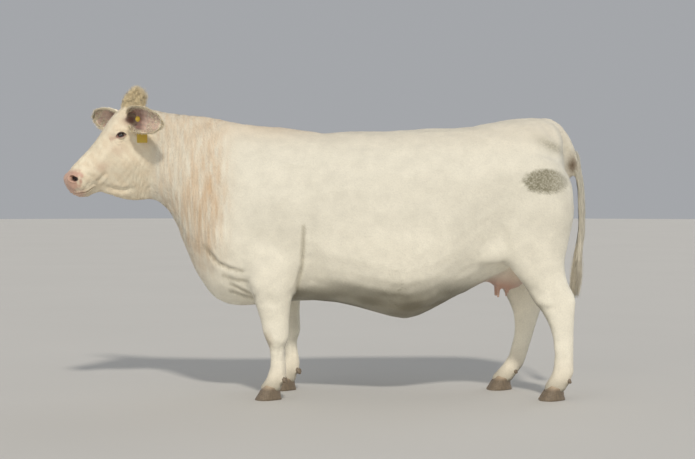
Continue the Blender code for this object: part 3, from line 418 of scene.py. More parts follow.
def mottle(tree, sockets):
    """Mottles the stored colour of hide or tuft, and lays broken patches of dried mud over it."""
    base, mud_colour = sockets["Base Color"].links[0].from_socket, bpy.context.scene.cow_hide.mud
    place = add_node(tree, "TexCoord", output="Object")
    # Clouds of warmer and greyer hair some 60 mm wide, and a finer fleck of 6 mm
    clouds = add_node(tree, "TexNoise", {"Vector": place, "Scale": 15.0, "Detail": 3.0})
    flecks = add_node(tree, "TexNoise", {"Vector": place, "Scale": 160.0, "Detail": 2.0})
    shade = add_node(tree, "MapRange", dict(zip(RANGE, (clouds, 0.3, 0.7, 0.93, 1.03))))
    fleck = add_node(tree, "MapRange", dict(zip(RANGE, (flecks, 0.3, 0.7, 0.95, 1.03))))
    shade = add_node(tree, "Math", {0: shade, 1: fleck}, operation="MULTIPLY")
    grey = add_node(tree, "CombineXYZ", {0: shade, 1: shade, 2: shade})
    base = add_node(tree, "Mix", {0: 1.0, 6: base, 7: grey}, 2, data_type="RGBA", blend_type="MULTIPLY")
    crumbs = add_node(tree, "TexNoise", {"Vector": place, "Scale": 120.0, "Detail": 4.0})
    broken = add_node(tree, "MapRange", dict(zip(RANGE, (crumbs, 0.32, 0.58, 0.55, 1.0))))
    mud = add_node(tree, "Attribute", output="Fac", attribute_name="mud")
    amount = add_node(tree, "Math", {0: mud, 1: broken}, operation="MULTIPLY", use_clamp=True)
    colour = add_node(tree, "Mix", {0: amount, 6: base, 7: (*mud_colour, 1.0)}, 2, data_type="RGBA")
    tree.links.new(colour, sockets["Base Color"])


def hide_material(name):
    """Short-haired cattle hide: fine strands that run with the lie, pebbled bare skin on the muzzle."""
    made, tree, sockets = new_material(name, Sheen_Weight=0.15, Sheen_Roughness=0.5)
    mottle(tree, sockets)
    bare = add_node(tree, "Attribute", output="Fac", attribute_name="bare")
    rough = add_node(tree, "MapRange", dict(zip(RANGE, (bare, 0.0, 1.0, 0.72, 0.42))))
    tree.links.new(rough, sockets["Roughness"])
    place = add_node(tree, "TexCoord", output="Object")
    # Strands 2 mm wide and 25 mm long: back and down on the trunk, upright on neck and legs
    strands = []
    for slope in (-28, -88):
        turn = (0, math.radians(slope), 0)
        lie = add_node(tree, "Mapping", {"Vector": place, "Scale": (40, 480, 480), "Rotation": turn})
        strands.append(add_node(tree, "TexNoise", {"Vector": lie, "Scale": 1.0, "Detail": 2.0}))
    upright = add_node(tree, "Attribute", output="Fac", attribute_name="upright")
    height = add_node(tree, "Mix", {0: upright, 2: strands[0], 3: strands[1]})
    # Pebbles 4 mm wide on the muzzle's pad
    pebbles = add_node(tree, "TexVoronoi", {"Vector": place, "Scale": 260.0}, "Distance", feature="SMOOTH_F1")
    height = add_node(tree, "Mix", {0: bare, 2: height, 3: pebbles})
    # Upright waves 10 mm wide and 150 mm long on the loose skin of the neck
    lie = add_node(tree, "Mapping", {"Vector": place, "Scale": (95, 95, 6)})
    waves = add_node(tree, "TexNoise", {"Vector": lie, "Scale": 1.0})
    share = add_node(tree, "Attribute", output="Fac", attribute_name="waves")
    share = add_node(tree, "Math", {0: share, 1: 0.8}, operation="MULTIPLY")
    folds = add_node(tree, "Bump", {"Height": waves, "Strength": share, "Distance": 0.009})
    bump = add_node(tree, "Bump", {"Height": height, "Strength": 0.5, "Distance": 0.0012, "Normal": folds})
    tree.links.new(bump, sockets["Normal"])
    return made


def hair_material(name):
    """Dry, matt cattle hair, which catches a soft sheen along its edges."""
    made, tree, sockets = new_material(name, Roughness=0.62, Sheen_Weight=0.20, Sheen_Roughness=0.45)
    mottle(tree, sockets)
    return made


def ear_material(name):
    """Thin ear skin: light bleeds through it, and it shines faintly where it is bare."""
    made, tree, sockets = new_material(
        name, Subsurface_Weight=0.15, Subsurface_Scale=0.004, Subsurface_Radius=(1.0, 0.35, 0.25),
        Sheen_Weight=0.2)
    bare = add_node(tree, "Attribute", output="Fac", attribute_name="bare")
    rough = add_node(tree, "MapRange", dict(zip(RANGE, (bare, 0.0, 1.0, 0.7, 0.45))))
    tree.links.new(rough, sockets["Roughness"])
    # Grain 2 mm wide, which is coarser than the real skin's so that it shows
    place = add_node(tree, "TexCoord", output="Object")
    grain = add_node(tree, "TexNoise", {"Vector": place, "Scale": 420.0, "Detail": 2.0})
    bump = add_node(tree, "Bump", {"Height": grain, "Strength": 0.35, "Distance": 0.0008})
    tree.links.new(bump, sockets["Normal"])
    return made


def eye_material(name):
    """Wet eyeball: a clear coat gives the sharp highlight over the dark iris."""
    return new_material(name, Roughness=0.25, Coat_Weight=1.0, Coat_Roughness=0.02)[0]


def lid_material(name):
    """Moist skin of the lid's margin, dark above and pink at the inner corner."""
    return new_material(name, Roughness=0.35, Coat_Weight=0.4, Coat_Roughness=0.2)[0]


def plastic_material(name):
    """Moulded ear-tag plastic: soft gloss, light carried a little way in, dust in its dull patches."""
    made, tree, sockets = new_material(
        name, stored=False, Roughness=0.42, Subsurface_Weight=0.12, Subsurface_Scale=0.003)
    place = add_node(tree, "TexCoord", output="Object")
    # Dust in clouds of 10 mm
    dust = add_node(tree, "TexNoise", {"Vector": place, "Scale": 90.0, "Detail": 4.0})
    share = add_node(tree, "MapRange", dict(zip(RANGE, (dust, 0.45, 0.70, 0.0, 0.35))))
    yellow = bpy.context.scene.cow_head.tag
    tone = add_node(tree, "Mix", {0: share, 6: (*yellow, 1), 7: (*linear("#B39A52"), 1)}, 2, data_type="RGBA")
    tree.links.new(tone, sockets["Base Color"])
    return made


def horn_material(name):
    """Grown hoof horn: growth rings and fine upright fibres under a dull waxy sheen."""
    made, tree, sockets = new_material(name, Roughness=0.48)
    # Fibres 1 mm wide and 17 mm long
    place = add_node(tree, "TexCoord", output="Object")
    lie = add_node(tree, "Mapping", {"Vector": place, "Scale": (900, 900, 60)})
    fibres = add_node(tree, "TexNoise", {"Vector": lie, "Scale": 1.0, "Detail": 2.0})
    bump = add_node(tree, "Bump", {"Height": fibres, "Strength": 0.4, "Distance": 0.0006})
    tree.links.new(bump, sockets["Normal"])
    return made


def floor_material(name):
    """Painted studio floor: matt, with faint clouds of wear 1.4 m wide."""
    made, tree, sockets = new_material(name, stored=False, Roughness=0.8)
    place = add_node(tree, "TexCoord", output="Object")
    cloud = add_node(tree, "TexNoise", {"Vector": place, "Scale": 0.7, "Detail": 2.0})
    paint = bpy.context.scene.cow_stage.floor
    worn = [value * 0.94 for value in paint]
    tone = add_node(tree, "Mix", {0: cloud, 6: (*paint, 1), 7: (*worn, 1)}, 2, data_type="RGBA")
    tree.links.new(tone, sockets["Base Color"])
    return made


MATERIALS = {
    "short-haired hide": hide_material,
    "cattle hair": hair_material,
    "thin ear skin": ear_material,
    "wet eyeball": eye_material,
    "moist lid margin": lid_material,
    "moulded yellow plastic": plastic_material,
    "grown hoof horn": horn_material,
    "painted studio floor": floor_material,
}


def material(name):
    """A material by its name, made when a piece first asks for it."""
    return bpy.data.materials.get(name) or MATERIALS[name](name)


def finish_piece(item, slot, finish, *replaced):
    """Gives a piece its material, lets it ride on the body, and hides the solids that it stands for."""
    item.data.materials.append(material(finish))
    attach(item, next(iter(frame["bodies"])))
    if replaced:
        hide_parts(*replaced)


def eye_places():
    """Centre, outward axis, forward and upward way of each eye, from its CAD node."""
    places = {}
    for word, side in (("left", -1), ("right", 1)):
        low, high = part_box("eye_" + word)
        axis = unit(head_way((0.24, side * 0.96, 0.10)))
        forward = head_way((1, 0, 0))
        forward = unit(forward - axis * (forward @ axis))
        up = np.cross(axis, forward)
        up = up if up[2] > 0 else -up
        places[word] = (np.array((low + high) / 2), axis, forward, up)
    return places


def eye_distance(points):
    """Distance of each point to the nearer eye's centre."""
    return np.min([np.linalg.norm(points - place[0], axis=1) for place in eye_places().values()], axis=0)


LID_HALF, LID_TILT = 0.0228, math.radians(-10)  # half the length of the eye's opening, and its slope
LID_ARCH = (0.0135, 0.0102)  # height of the opening above and below its middle line


def lid_edge(points, place):
    """Where points are about the almond between the lids.

    Distance inside (+) or outside (-) its edge, distance from the eye's centre, then place along it,
    forwards, and across it, upwards.
    """
    centre, axis, forward, up = place
    away = points - centre
    distance = np.linalg.norm(away, axis=1)
    aside = np.hypot(away @ forward, away @ up)
    arc = EYE_RADIUS * np.arctan2(aside, away @ axis) / np.maximum(aside, 1e-6)
    a, b = away @ forward * arc, away @ up * arc
    a, b = a * math.cos(LID_TILT) + b * math.sin(LID_TILT), b * math.cos(LID_TILT) - a * math.sin(LID_TILT)
    share = np.clip(1 - (a / LID_HALF) ** 2, 0, 1) ** 0.75
    inside = np.minimum(LID_ARCH[0] * share - b, b + LID_ARCH[1] * share)
    past = np.maximum(np.abs(a) - LID_HALF, 0)
    inside = np.where(past > 0, -np.hypot(past, b), inside)
    inside = np.where(away @ axis < 0, -0.05, inside)
    return inside, distance, a, b


# Creases of the body: x and z along the path on either side, width, depth, and share of a roll beside it
CREASES = (
    (((-0.581, 0.742), (-0.550, 0.700), (-0.514, 0.656), (-0.460, 0.632), (-0.399, 0.622)),
     0.010, 0.0070, 0.25),  # brisket, high, and three lower on it
    (((-0.455, 0.556), (-0.405, 0.528), (-0.340, 0.500)), 0.0070, 0.0045, 0.3),
    (((-0.460, 0.522), (-0.405, 0.500), (-0.342, 0.484)), 0.0070, 0.0040, 0.3),
    (((-0.490, 0.598), (-0.440, 0.578), (-0.375, 0.572)), 0.0080, 0.0022, 0.2),
    (((-0.104, 0.835), (-0.106, 0.740), (-0.112, 0.648), (-0.135, 0.553), (-0.153, 0.485)),
     0.009, 0.0115, 0.0),  # behind the elbow, and two faint ones further back
    (((-0.052, 0.770), (-0.054, 0.700), (-0.050, 0.630)), 0.014, 0.0022, 0.0),
    (((-0.020, 0.740), (-0.024, 0.680), (-0.020, 0.610)), 0.014, 0.0018, 0.0),
    (((-0.480, 0.858), (-0.398, 0.775), (-0.386, 0.655)), 0.034, 0.0050, 0.0),  # under the neck
    (((-0.440, 1.220), (-0.475, 1.060), (-0.490, 0.900)), 0.050, 0.0045, 0.0),  # before the shoulder
    (((0.727, 0.889), (0.774, 0.837), (0.844, 0.781), (0.938, 0.724)), 0.040, 0.0060, 0.0),  # flank
    (((0.735, 1.030), (0.725, 0.930), (0.727, 0.870)), 0.055, 0.0050, 0.0),
    (((1.010, 1.080), (1.020, 0.930), (1.045, 0.780)), 0.034, 0.0030, 0.0),  # thigh
    (((1.080, 0.640), (1.120, 0.560), (1.150, 0.500)), 0.014, 0.0030, 0.0),  # above the hock
    (((1.035, 1.330), (1.070, 1.290), (1.095, 1.235)), 0.014, 0.0040, 0.2),  # beside the tail's root
    (((1.000, 1.245), (1.050, 1.215), (1.100, 1.190)), 0.020, 0.0030, 0.0),
)
FINE_CREASES = CREASES[:5]  # these need a finer mesh
# Creases and folds of the head, in its own frame: reach and height, width and depth
HEAD_CREASES = (
    (((0.325, 1.040), (0.305, 1.062), (0.283, 1.092)), 0.008, 0.0045),  # before the cheek
    (((0.290, 1.030), (0.250, 1.012), (0.200, 1.004), (0.140, 1.014)), 0.010, 0.006),  # edge of the jaw
    (((0.240, 1.232), (0.222, 1.230), (0.205, 1.238)), 0.003, 0.0020),  # fold under the eye
    (((0.262, 1.246), (0.238, 1.220), (0.212, 1.218)), 0.004, 0.0018),
    (((0.250, 1.284), (0.222, 1.292), (0.196, 1.286)), 0.003, 0.0022),  # fold of the upper lid
    (((0.345, 1.062), (0.365, 1.075), (0.385, 1.092)), 0.008, 0.0025),  # behind the nostril's wing
)
HEAD_RIDGES = (
    (((0.262, 1.205), (0.300, 1.165), (0.335, 1.120)), 0.014, 0.0030),  # crest of the cheek bone
    (((0.170, 1.285), (0.200, 1.300), (0.235, 1.296), (0.258, 1.278)), 0.010, 0.0035),  # brow
    (((0.440, 1.088), (0.452, 1.068), (0.448, 1.046)), 0.010, 0.0030),  # wing of the nostril
)
# The line between the lips: degrees round a middle at this reach, from the front, and height
MOUTH_MIDDLE = 0.360
MOUTH_LINE = ((0, 0.990), (30, 0.990), (60, 0.994), (90, 1.004), (116, 1.020))
NOSTRIL = (0.438, 1.058)  # reach and height
CANNON_BACK = {"front": 0.052, "hind": 0.0468}  # from the claws' middle back to the groove before the sinew


def side_weight(across, facing, side):
    """1 on one side of the body where its skin looks that way."""
    return smooth_step(facing * side, 0.05, 0.45) * (across * side > 0.01)


def crease(points, path, width, depth, roll):
    """A crease that fades at its ends, with a soft roll of skin along both of its edges."""
    distance, share = along_path(points, path)
    beside = bell(distance, 2.1 * width, 1.1 * width)
    fade = 0.15 + 0.85 * smooth_step(np.minimum(share, 1 - share), 0.0, 0.28)
    return depth * fade * (roll * beside - bell(distance, 0, width))


def mouth_path(item):
    """Points of the line between the lips on the hide, from corner to corner."""
    turns, heights = zip(*MOUTH_LINE)
    points = to_head(read_points(item))
    path = []
    for turn in np.linspace(-turns[-1], turns[-1], 41):
        angle = math.radians(turn)
        height = float(np.interp(abs(turn), turns, heights))
        out = np.array((math.cos(angle), math.sin(angle)))
        flat = points[:, :2] - (MOUTH_MIDDLE, 0)
        off = np.abs(flat @ np.array((-out[1], out[0]))) + np.abs(points[:, 2] - height)
        off = np.where((flat @ out < 0) | (np.abs(points[:, 2] - height) > 0.02), 9, off)
        path.append(points[off.argmin()])
    path = np.array(path)
    for _ in range(3):
        path[1:-1] = (path[:-2] + 2 * path[1:-1] + path[2:]) / 4
    return path


class COW_OT_hide(bpy.types.Operator):
    """Models one hide over all the flesh, with lids, nostrils, lips and folds"""

    bl_idname = "cow.hide"
    bl_label = "Hide"

    def execute(self, context):
        props = context.scene.cow_hide
        item = self.fused(props)
        self.soften(item, props)
        self.refine_head(item)
        self.fold(item)
        self.shape_head(item)
        points, normals = read_points(item), read_normals(item)
        for name, values in zip(("hide", "mud", "bare"), hide_look(points, normals, props)):
            put(item, name, values)
        put(item, "upright", upright_share(points))
        put(item, "waves", neck_share(points))
        smooth(item)
        finish_piece(item, "coat", "short-haired hide", *FLESH, "tail_switch")
        return {"FINISHED"}

    def fused(self, props):
        """Flesh, eyes and dewclaws in one skin, with the holes of nostrils and ears filled."""
        shape = joined_copy((*FLESH, "eye_left", "eye_right", *DEWCLAWS))
        fills = [
            (from_head((NOSTRIL[0] - 0.012, side * 0.040, NOSTRIL[1])), (0.020, 0.026, 0.018))
            for side in (-1, 1)
        ]
        under_ears = ((-0.943, -0.098, 1.348), (-0.985, 0.040, 1.326))
        fills += [(place, (0.034, 0.030, 0.034)) for place in under_ears]
        for foot in FEET:
            low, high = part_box(foot + "_claw_outer")
            inner_low, inner_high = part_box(foot + "_claw_inner")
            middle_y = (low.y + high.y + inner_low.y + inner_high.y) / 4
            fills.append((((low.x + high.x) / 2 + 0.012, middle_y, 0.056), (0.050, 0.046, 0.036)))
        low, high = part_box("tail_lower")
        tail_x = (low.x + high.x) / 2 - 0.004
        for step in range(7):
            thick = 0.015 - 0.001 * step
            fills.append(((tail_x - 0.002 * step, 0, low.z - 0.018 * step), (thick, thick, 0.022)))
        # The tail's root, and the fold of skin below it
        fills += [((1.168, 0, 1.152), (0.042, 0.036, 0.042)), ((1.170, 0, 1.092), (0.034, 0.027, 0.052))]
        for centre, radii in fills:
            place = Matrix.Translation(Vector(centre)) @ Matrix.Diagonal((*radii, 1.0))
            bmesh.ops.create_icosphere(shape, subdivisions=3, radius=1.0, matrix=place)
        item = object_of(shape, "hide")
        voxel_remesh(item, props.grain)
        return item

    def soften(self, item, props):
        """Takes out the solids' facets and the lumps of their locks, and sinks the skin below the coat."""
        points = read_points(item)
        head = to_head(points)
        dome = self.dome(head)
        head[:, 2] = np.where(dome > 0, np.minimum(head[:, 2], dome), head[:, 2])
        write_points(item, from_head(head))
        poll = near(head, (TUFT_REACH, 0.0, 1.43), (0.075, 0.085, 0.06))
        relax(item, 30, np.clip(poll * 1.4, 0, 1), 0.5, -0.35)
        rear = near(read_points(item), (1.14, 0, 0.80), (0.10, 0.13, 0.10))
        relax(item, 30, np.clip(1.5 * rear, 0, 1), 0.5, -0.40)
        points = read_points(item)
        thin = np.clip(smooth_step(points[:, 2], 0.52, 0.34) + smooth_step(points[:, 0], 1.19, 1.22), 0, 1)
        relax(item, 14, 1.0 - 0.75 * thin)
        points, normals = read_points(item), read_normals(item)
        head = to_head(points)
        bare = smooth_step(head[:, 0], 0.36, 0.41)
        depth = props.coat_depth * (1 - bare) * (1 - 0.5 * smooth_step(points[:, 2], 0.45, 0.25))
        write_points(item, points - normals * depth[:, None])

    def dome(self, head):
        """Height of the bare poll under the tuft, or 0 elsewhere."""
        away = np.hypot(head[:, 0] - TUFT_REACH, head[:, 1])
        return np.where(away < 0.085, 1.415 + 0.026 * bell(away, 0, 0.045), 0)

    def refine_head(self, item):
        """Finer mesh on head, tail, teats and lower legs, finer yet at muzzle and eyes."""
        points = read_points(item)
        x, y, z = points.T
        shin = (z < 0.34) & (z > 0.05)
        folds = np.min([path_distance(points[:, (0, 2)], row[0]) for row in FINE_CREASES], axis=0)
        tight = (folds < 0.026) & (np.abs(y) > 0.06)
        teats = (np.abs(x - 0.865) < 0.06) & (np.abs(y) < 0.09) & (z < 0.56)
        refine(item, (to_head(points)[:, 0] > 0.06) | (x > 1.20) | shin | tight | teats)
        points = read_points(item)
        relax(item, 4, 1.0 * ((to_head(points)[:, 0] > 0.02) | (points[:, 2] < 0.60)))
        points = read_points(item)
        refine(item, (to_head(points)[:, 0] > 0.325) | (eye_distance(points) < 0.056))
        relax(item, 3, 1.0 * (to_head(read_points(item))[:, 0] > 0.2))
        self.mouth = mouth_path(item)
        points = read_points(item)
        head = to_head(points)
        at_mouth = path_distance(head, self.mouth) < 0.006
        at_nostril = np.hypot(head[:, 0] - NOSTRIL[0], head[:, 2] - NOSTRIL[1]) < 0.024
        at_nostril &= np.abs(head[:, 1]) > 0.025
        refine(item, (eye_distance(points) < 0.034) | at_mouth | at_nostril)
        relax(item, 2, 1.0 * (to_head(read_points(item))[:, 0] > 0.2))

    def fold(self, item):
        """Creases of trunk and legs, and the waves of loose skin on neck and throat."""
        points, normals = read_points(item), read_normals(item)
        rise = np.zeros(len(points))
        flat = points[:, (0, 2)]
        for side in (-1, 1):
            weight = side_weight(points[:, 1], normals[:, 1], side) * (to_head(points)[:, 0] < 0.05)
            for path, width, depth, roll in CREASES:
                rise += weight * crease(flat, path, width, depth, roll)
        head = to_head(points)
        neck = neck_share(points)
        rise += 0.0011 * neck * ripple(points, (0.028, 0.10, 0.30), 3)
        rise += 0.0008 * neck * ripple(points, (0.014, 0.05, 0.16), 4)
        # Wrinkles of the throat, 17 mm apart
        throat = near(head, (0.125, 0, 1.06), (0.055, 0.30, 0.13))
        slant = head[:, 0] + 0.10 * (head[:, 2] - 1.06)
        rise += 0.0016 * throat * np.sin(slant * 2 * math.pi / 0.017 + 1.3 * ripple(points, 0.08, 5))
        trunk = (1 - neck) * (head[:, 0] < 0) * (points[:, 2] > 0.45)
        rise += 0.0020 * trunk * ripple(points, 0.17, 6) + 0.0007 * trunk * ripple(points, 0.055, 7)
        # Sinews stand out behind the cannon bones
        for foot in FEET:
            low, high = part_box(foot + "_leg")
            claw_low, claw_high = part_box(foot + "_claw_outer")
            middle = (claw_low.x + claw_high.x) / 2 + CANNON_BACK[foot.split("_")[0]]
            groove = bell(points[:, 0], middle, 0.007) * bell(points[:, 2], 0.20, 0.07)
            rise -= 0.0035 * groove * (np.sign(points[:, 1]) == np.sign(low.y + high.y))
        write_points(item, points + normals * rise[:, None])
        relax(item, 1)

    def shape_head(self, item):
        """Ridges and creases of the face, then lips, nostrils and lids."""
        points, normals = read_points(item), read_normals(item)
        head = to_head(points)
        rise = np.zeros(len(points))
        for side in (-1, 1):
            out = unit(head_way((0, side, 0)))
            weight = smooth_step(normals @ out, 0.1, 0.5) * (head[:, 1] * side > 0.01) * (head[:, 0] > 0.05)
            for path, width, depth in HEAD_CREASES:
                rise += weight * crease(head[:, (0, 2)], path, width, depth, 0.4)
            for path, width, height in HEAD_RIDGES:
                rise += weight * height * bell(path_distance(head[:, (0, 2)], path), 0, width)
        # Lips: a deep line, with the upper lip full above it and the lower lip behind
        off = path_distance(head, self.mouth)
        turns, heights = zip(*MOUTH_LINE)
        angle = np.degrees(np.arctan2(np.abs(head[:, 1]), head[:, 0] - MOUTH_MIDDLE))
        above = head[:, 2] - np.interp(angle, turns, heights)
        rise += -0.0062 * bell(off, 0, 0.0019)
        rise += 0.0034 * bell(off, 0.0075, 0.006) * smooth_step(above, -0.001, 0.004)
        rise += 0.0016 * bell(off, 0.0065, 0.005) * smooth_step(above, 0.001, -0.004)
        # Vein and fine unevenness under the thin skin of the face
        rise += 0.0007 * ripple(points, 0.030, 11) * (head[:, 0] > 0.06)
        write_points(item, points + normals * rise[:, None])
        self.nostrils(item)
        self.lids(item)

    def nostrils(self, item):
        """Comma-shaped hollows that run back and inwards, their wings raised."""
        points, normals = read_points(item), read_normals(item)
        head = to_head(points)
        for side in (-1, 1):
            a, b = head[:, 0] - NOSTRIL[0], head[:, 2] - NOSTRIL[1]
            near_side = (head[:, 1] * side > 0.02) & (np.hypot(a, b) < 0.05)
            turn = np.arctan2(b, a)
            edge = 0.0150 * (1 + 0.26 * np.cos(turn - 0.6) + 0.15 * np.cos(2 * turn - 1.1))
            edge = edge * (0.92 + 0.10 * np.abs(np.cos(turn)))
            inside = edge - np.hypot(a, b)
            depth = smooth_step(inside, -0.0010, 0.0045) * 0.024
            rim = 0.0028 * bell(inside, -0.0045, 0.0040)
            inward = unit(head_way((-0.75, -side * 0.62, 0.15)))
            move = inward * depth[:, None] + normals * rim[:, None]
            points = points + move * near_side[:, None]
        write_points(item, points)

    def lids(self, item):
        """Skin drawn over each eyeball, parted along the almond, with folds above and below."""
        points = read_points(item)
        lid = EYE_RADIUS + 0.0030
        for place in eye_places().values():
            inside, distance, _, above = lid_edge(points, place)
            centre = place[0]
            close = (inside > -0.030) & (distance < 0.055)
            # Skin lies on the ball by the opening and leaves it further out
            cover = bell(np.minimum(inside, 0), 0, 0.011)
            outer = np.maximum(distance, lid) * (1 - cover) + lid * cover
            outer += 0.0012 * bell(inside, -0.0035, 0.0022)
            outer -= 0.0016 * bell(inside, -0.0085, 0.0020) * (above > 0)
            outer -= 0.0010 * bell(inside, -0.0095, 0.0022) * (above <= 0)
            opened = smooth_step(inside, -0.0004, 0.0012)
            radius = outer * (1 - opened) + (EYE_RADIUS - 0.0035) * opened
            moved = centre + (points - centre) / distance[:, None] * radius[:, None]
            points = np.where(close[:, None], moved, points)
        write_points(item, points)


def neck_share(points):
    """1 on the loose skin of the neck, 0 on trunk and head."""
    head = to_head(points)
    front = smooth_step(points[:, 0], -0.42, -0.56)
    behind = smooth_step(head[:, 0], 0.10, 0.02)
    above = smooth_step(points[:, 2], 0.62, 0.78)
    return front * behind * above


def upright_share(points):
    """1 where the hair hangs, 0 where it lies back along the trunk."""
    legs = smooth_step(points[:, 2], 0.62, 0.50) * (np.abs(points[:, 1]) > 0.09)
    front = smooth_step(points[:, 0], -0.36, -0.56)
    tail = smooth_step(points[:, 0], 1.17, 1.20)
    return np.clip(np.maximum(np.maximum(legs, front), tail), 0, 1)


class Paint:
    """The colours of many places, tinted layer over layer."""

    def __init__(self, colour, count):
        self.colours = np.tile(np.array(colour), (count, 1))

    def tint(self, share, target):
        share = np.clip(share, 0, 1)[:, None]
        self.colours = self.colours * (1 - share) + np.array(target) * share


def hide_look(points, normals, props):
    """Colour, mud and bareness of hide or coat at places on the body."""
    paint = Paint(props.cream, len(points))
    head = to_head(points)
    on_head = smooth_step(head[:, 0], 0.03, 0.10)
    tint_body(paint.tint, points, on_head, props)
    bare = tint_face(paint.tint, points, head, on_head, props)
    bare = tint_eyes(paint.tint, points, bare, props)
    udder = udder_share(points)
    paint.tint(udder * 0.85, props.udder)
    bare = np.maximum(bare, udder * 0.9)
    tint_wear(paint.tint, points, normals, on_head, udder, props)
    return paint.colours, mud_share(points), bare


def tint_body(tint, points, on_head, props):
    """Painted light that whitens chest and legs, and streaky tan on neck, brisket, poll and topline."""
    height = points[:, 2]
    # Her head is warmer than her sides. Painted light: chest and legs are whitened lower down, for light
    # thrown up from the ground
    tint(0.65 * on_head, linear("#F6E7C8"))
    tint(0.70 * smooth_step(height, 0.95, 0.60) * (1 - on_head), linear("#FFF9E6"))
    # A soft greyish olive patch on the ribs behind the elbow, in the belly's colour
    tint(0.16 * near(points, (-0.20, 0, 0.82), (0.13, 0.6, 0.10)), props.grime_and_shade)
    streak = 0.5 + 0.3 * np.tanh(1.6 * ripple(points, (0.010, 0.05, 0.22), 21, 11))
    streak += 0.2 * np.tanh(1.6 * ripple(points, (0.030, 0.09, 0.30), 20))
    neck = near(points, (-0.580, 0, 0.97), (0.100, 0.6, 0.18)) * (1 - on_head)
    tint(neck * (0.22 + 0.58 * streak), props.tan)
    tint(0.45 * near(points, (-0.60, 0, 0.68), (0.09, 0.5, 0.12)) * (0.4 + 0.6 * streak), props.tan)
    tint(0.34 * near(points, (-0.22, 0, 1.33), (0.30, 0.16, 0.07)), props.tan)
    tint(0.10 * smooth_step(height, 1.15, 1.30) * (1 - on_head), props.tan)
    tint(0.46 * neck_share(points) * streak, props.tan)


def tint_face(tint, points, head, on_head, props):
    """Warm nose and cheeks, golden poll, pink pad and lips. Says how bare each place is."""
    reach, across, height = head.T
    face_spots = 0.5 + 0.5 * np.tanh(1.5 * ripple(points, 0.045, 22))
    tint(on_head * 0.20 * face_spots, props.tan)
    for side in (-1, 1):
        tint(0.30 * near(head, (0.305, side * 0.085, 1.115), (0.030, 0.04, 0.024)), props.muzzle)
        tint(0.16 * near(head, (0.235, side * 0.11, 1.20), (0.04, 0.05, 0.03)), props.lids)
    tint(0.75 * near(head, (TUFT_REACH, 0, 1.43), (0.066, 0.075, 0.040)), linear("#E6D3AC"))
    # Muzzle: bare pink pad and lips, mottled at the edge
    edge = 0.010 * ripple(points, 0.022, 23)
    lips = smooth_step(height, 1.020, 0.985) * smooth_step(reach, 0.36, 0.40)
    pad = smooth_step(reach + 0.30 * (height - 1.06) * (height < 1.09) + edge, 0.388, 0.425)
    pad = np.maximum(pad * smooth_step(height, 1.115, 1.085), lips * 0.8)
    bare = np.clip(pad * 1.05, 0, 1)
    tint(bare * 0.88, props.muzzle)
    # Painted shade: the inside of the nostrils is darkened nearly to black, for the shade deep in them
    for side in (-1, 1):
        away = np.hypot((reach - NOSTRIL[0] + 0.006) * 0.85, height - NOSTRIL[1])
        near_side = across * side > 0.02
        tint(smooth_step(away, 0.0145, 0.009) * near_side, props.dark)
        bare = np.maximum(bare, 1.0 * ((away < 0.0125) & near_side))
    return bare


def tint_eyes(tint, points, bare, props):
    """Bare skin round the eyes, brown before them and darker along the upper lid."""
    for place in eye_places().values():
        inside, distance, a, b = lid_edge(points, place)
        on_lid = np.stack((a, b), axis=-1)
        close = distance < 0.060
        ring = bell(np.minimum(inside, 0), 0, 0.0050) * close
        corner = near(on_lid, (0.020, -0.002), (0.010, 0.008)) * close
        tint(np.clip(0.35 * ring + 0.55 * corner, 0, 0.8), props.lids)
        before = near(on_lid, (0.034, -0.004), (0.016, 0.008)) * close
        tint(0.45 * before, linear("#A47960"))
        rim = bell(inside, -0.0010, 0.0022) * close
        tint(rim * np.where(b > 0, 0.85, 0.35), linear("#4A3A36"))
        bare = np.maximum(bare, 0.8 * ring)
    return bare


def udder_share(points):
    """1 on udder and teats, falling to nothing on the belly."""
    low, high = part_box("udder")
    udder = near(points, ((low.x + high.x) / 2, 0, low.z + 0.06), (0.11, 0.11, 0.10))
    return np.clip(udder * 1.5, 0, 1) * (np.abs(points[:, 1]) < 0.12)


def tint_wear(tint, points, normals, on_head, udder, props):
    """Bare skin under the tail, stained knees, hocks and tail, dirt with painted shade along the belly, and
    painted shade in the folds of elbow and brisket.
    """
    x, y, z = points.T
    tint(1.2 * near(points, (1.200, 0, 1.135), (0.034, 0.042, 0.050)), linear("#6B573F"))
    tint(0.3 * near(points, (1.16, 0, 0.98), (0.06, 0.04, 0.12)), props.stain)
    front_knee = near(points, (-0.285, 0, 0.285), (0.045, 0.4, 0.045)) * smooth_step(-normals[:, 0], 0.0, 0.6)
    tint(0.50 * front_knee, props.stain)
    tint(0.20 * smooth_step(z, 0.26, 0.10), props.stain)
    tint(0.35 * smooth_step(z, 0.125, 0.07), props.grime_and_shade)
    # Along the belly, dirt and painted shade: the underside that faces down is darkened, and so is a band
    # along its lowest line
    belly = smooth_step(-normals[:, 2], 0.15, 0.75) * smooth_step(z, 0.62, 0.50)
    belly = belly * (np.abs(y) < 0.36) * (x > -0.35)
    smudge = 0.5 + 0.5 * np.tanh(1.5 * ripple(points, (0.16, 0.12, 0.10), 24))
    tint(0.85 * belly * (0.8 + 0.2 * smudge) * (1 - udder), props.grime_and_shade)
    tint(0.45 * near(points, (0.40, 0, 0.45), (0.18, 0.5, 0.05)), linear("#75694C"))
    switch = smooth_step(x, 1.19, 1.22)
    tint(0.35 * switch * smooth_step(z, 1.10, 0.80), bpy.context.scene.cow_coat.switch)
    # Painted shade: the coat is darkened along the folds of elbow and brisket, as if shade lay in them
    for path, _, _, _ in FINE_CREASES:
        line = bell(path_distance(points[:, (0, 2)], path), 0, 0.010)
        tint(0.42 * line * (np.abs(normals[:, 1]) > 0.3) * (1 - on_head), linear("#7F7354"))
    # The skin deep in the cup of each ear
    for place in ((-0.940, -0.132, 1.345), (-0.998, 0.068, 1.330)):
        tint(1.3 * near(points, place, (0.030, 0.024, 0.026)), bpy.context.scene.cow_head.ear_skin)


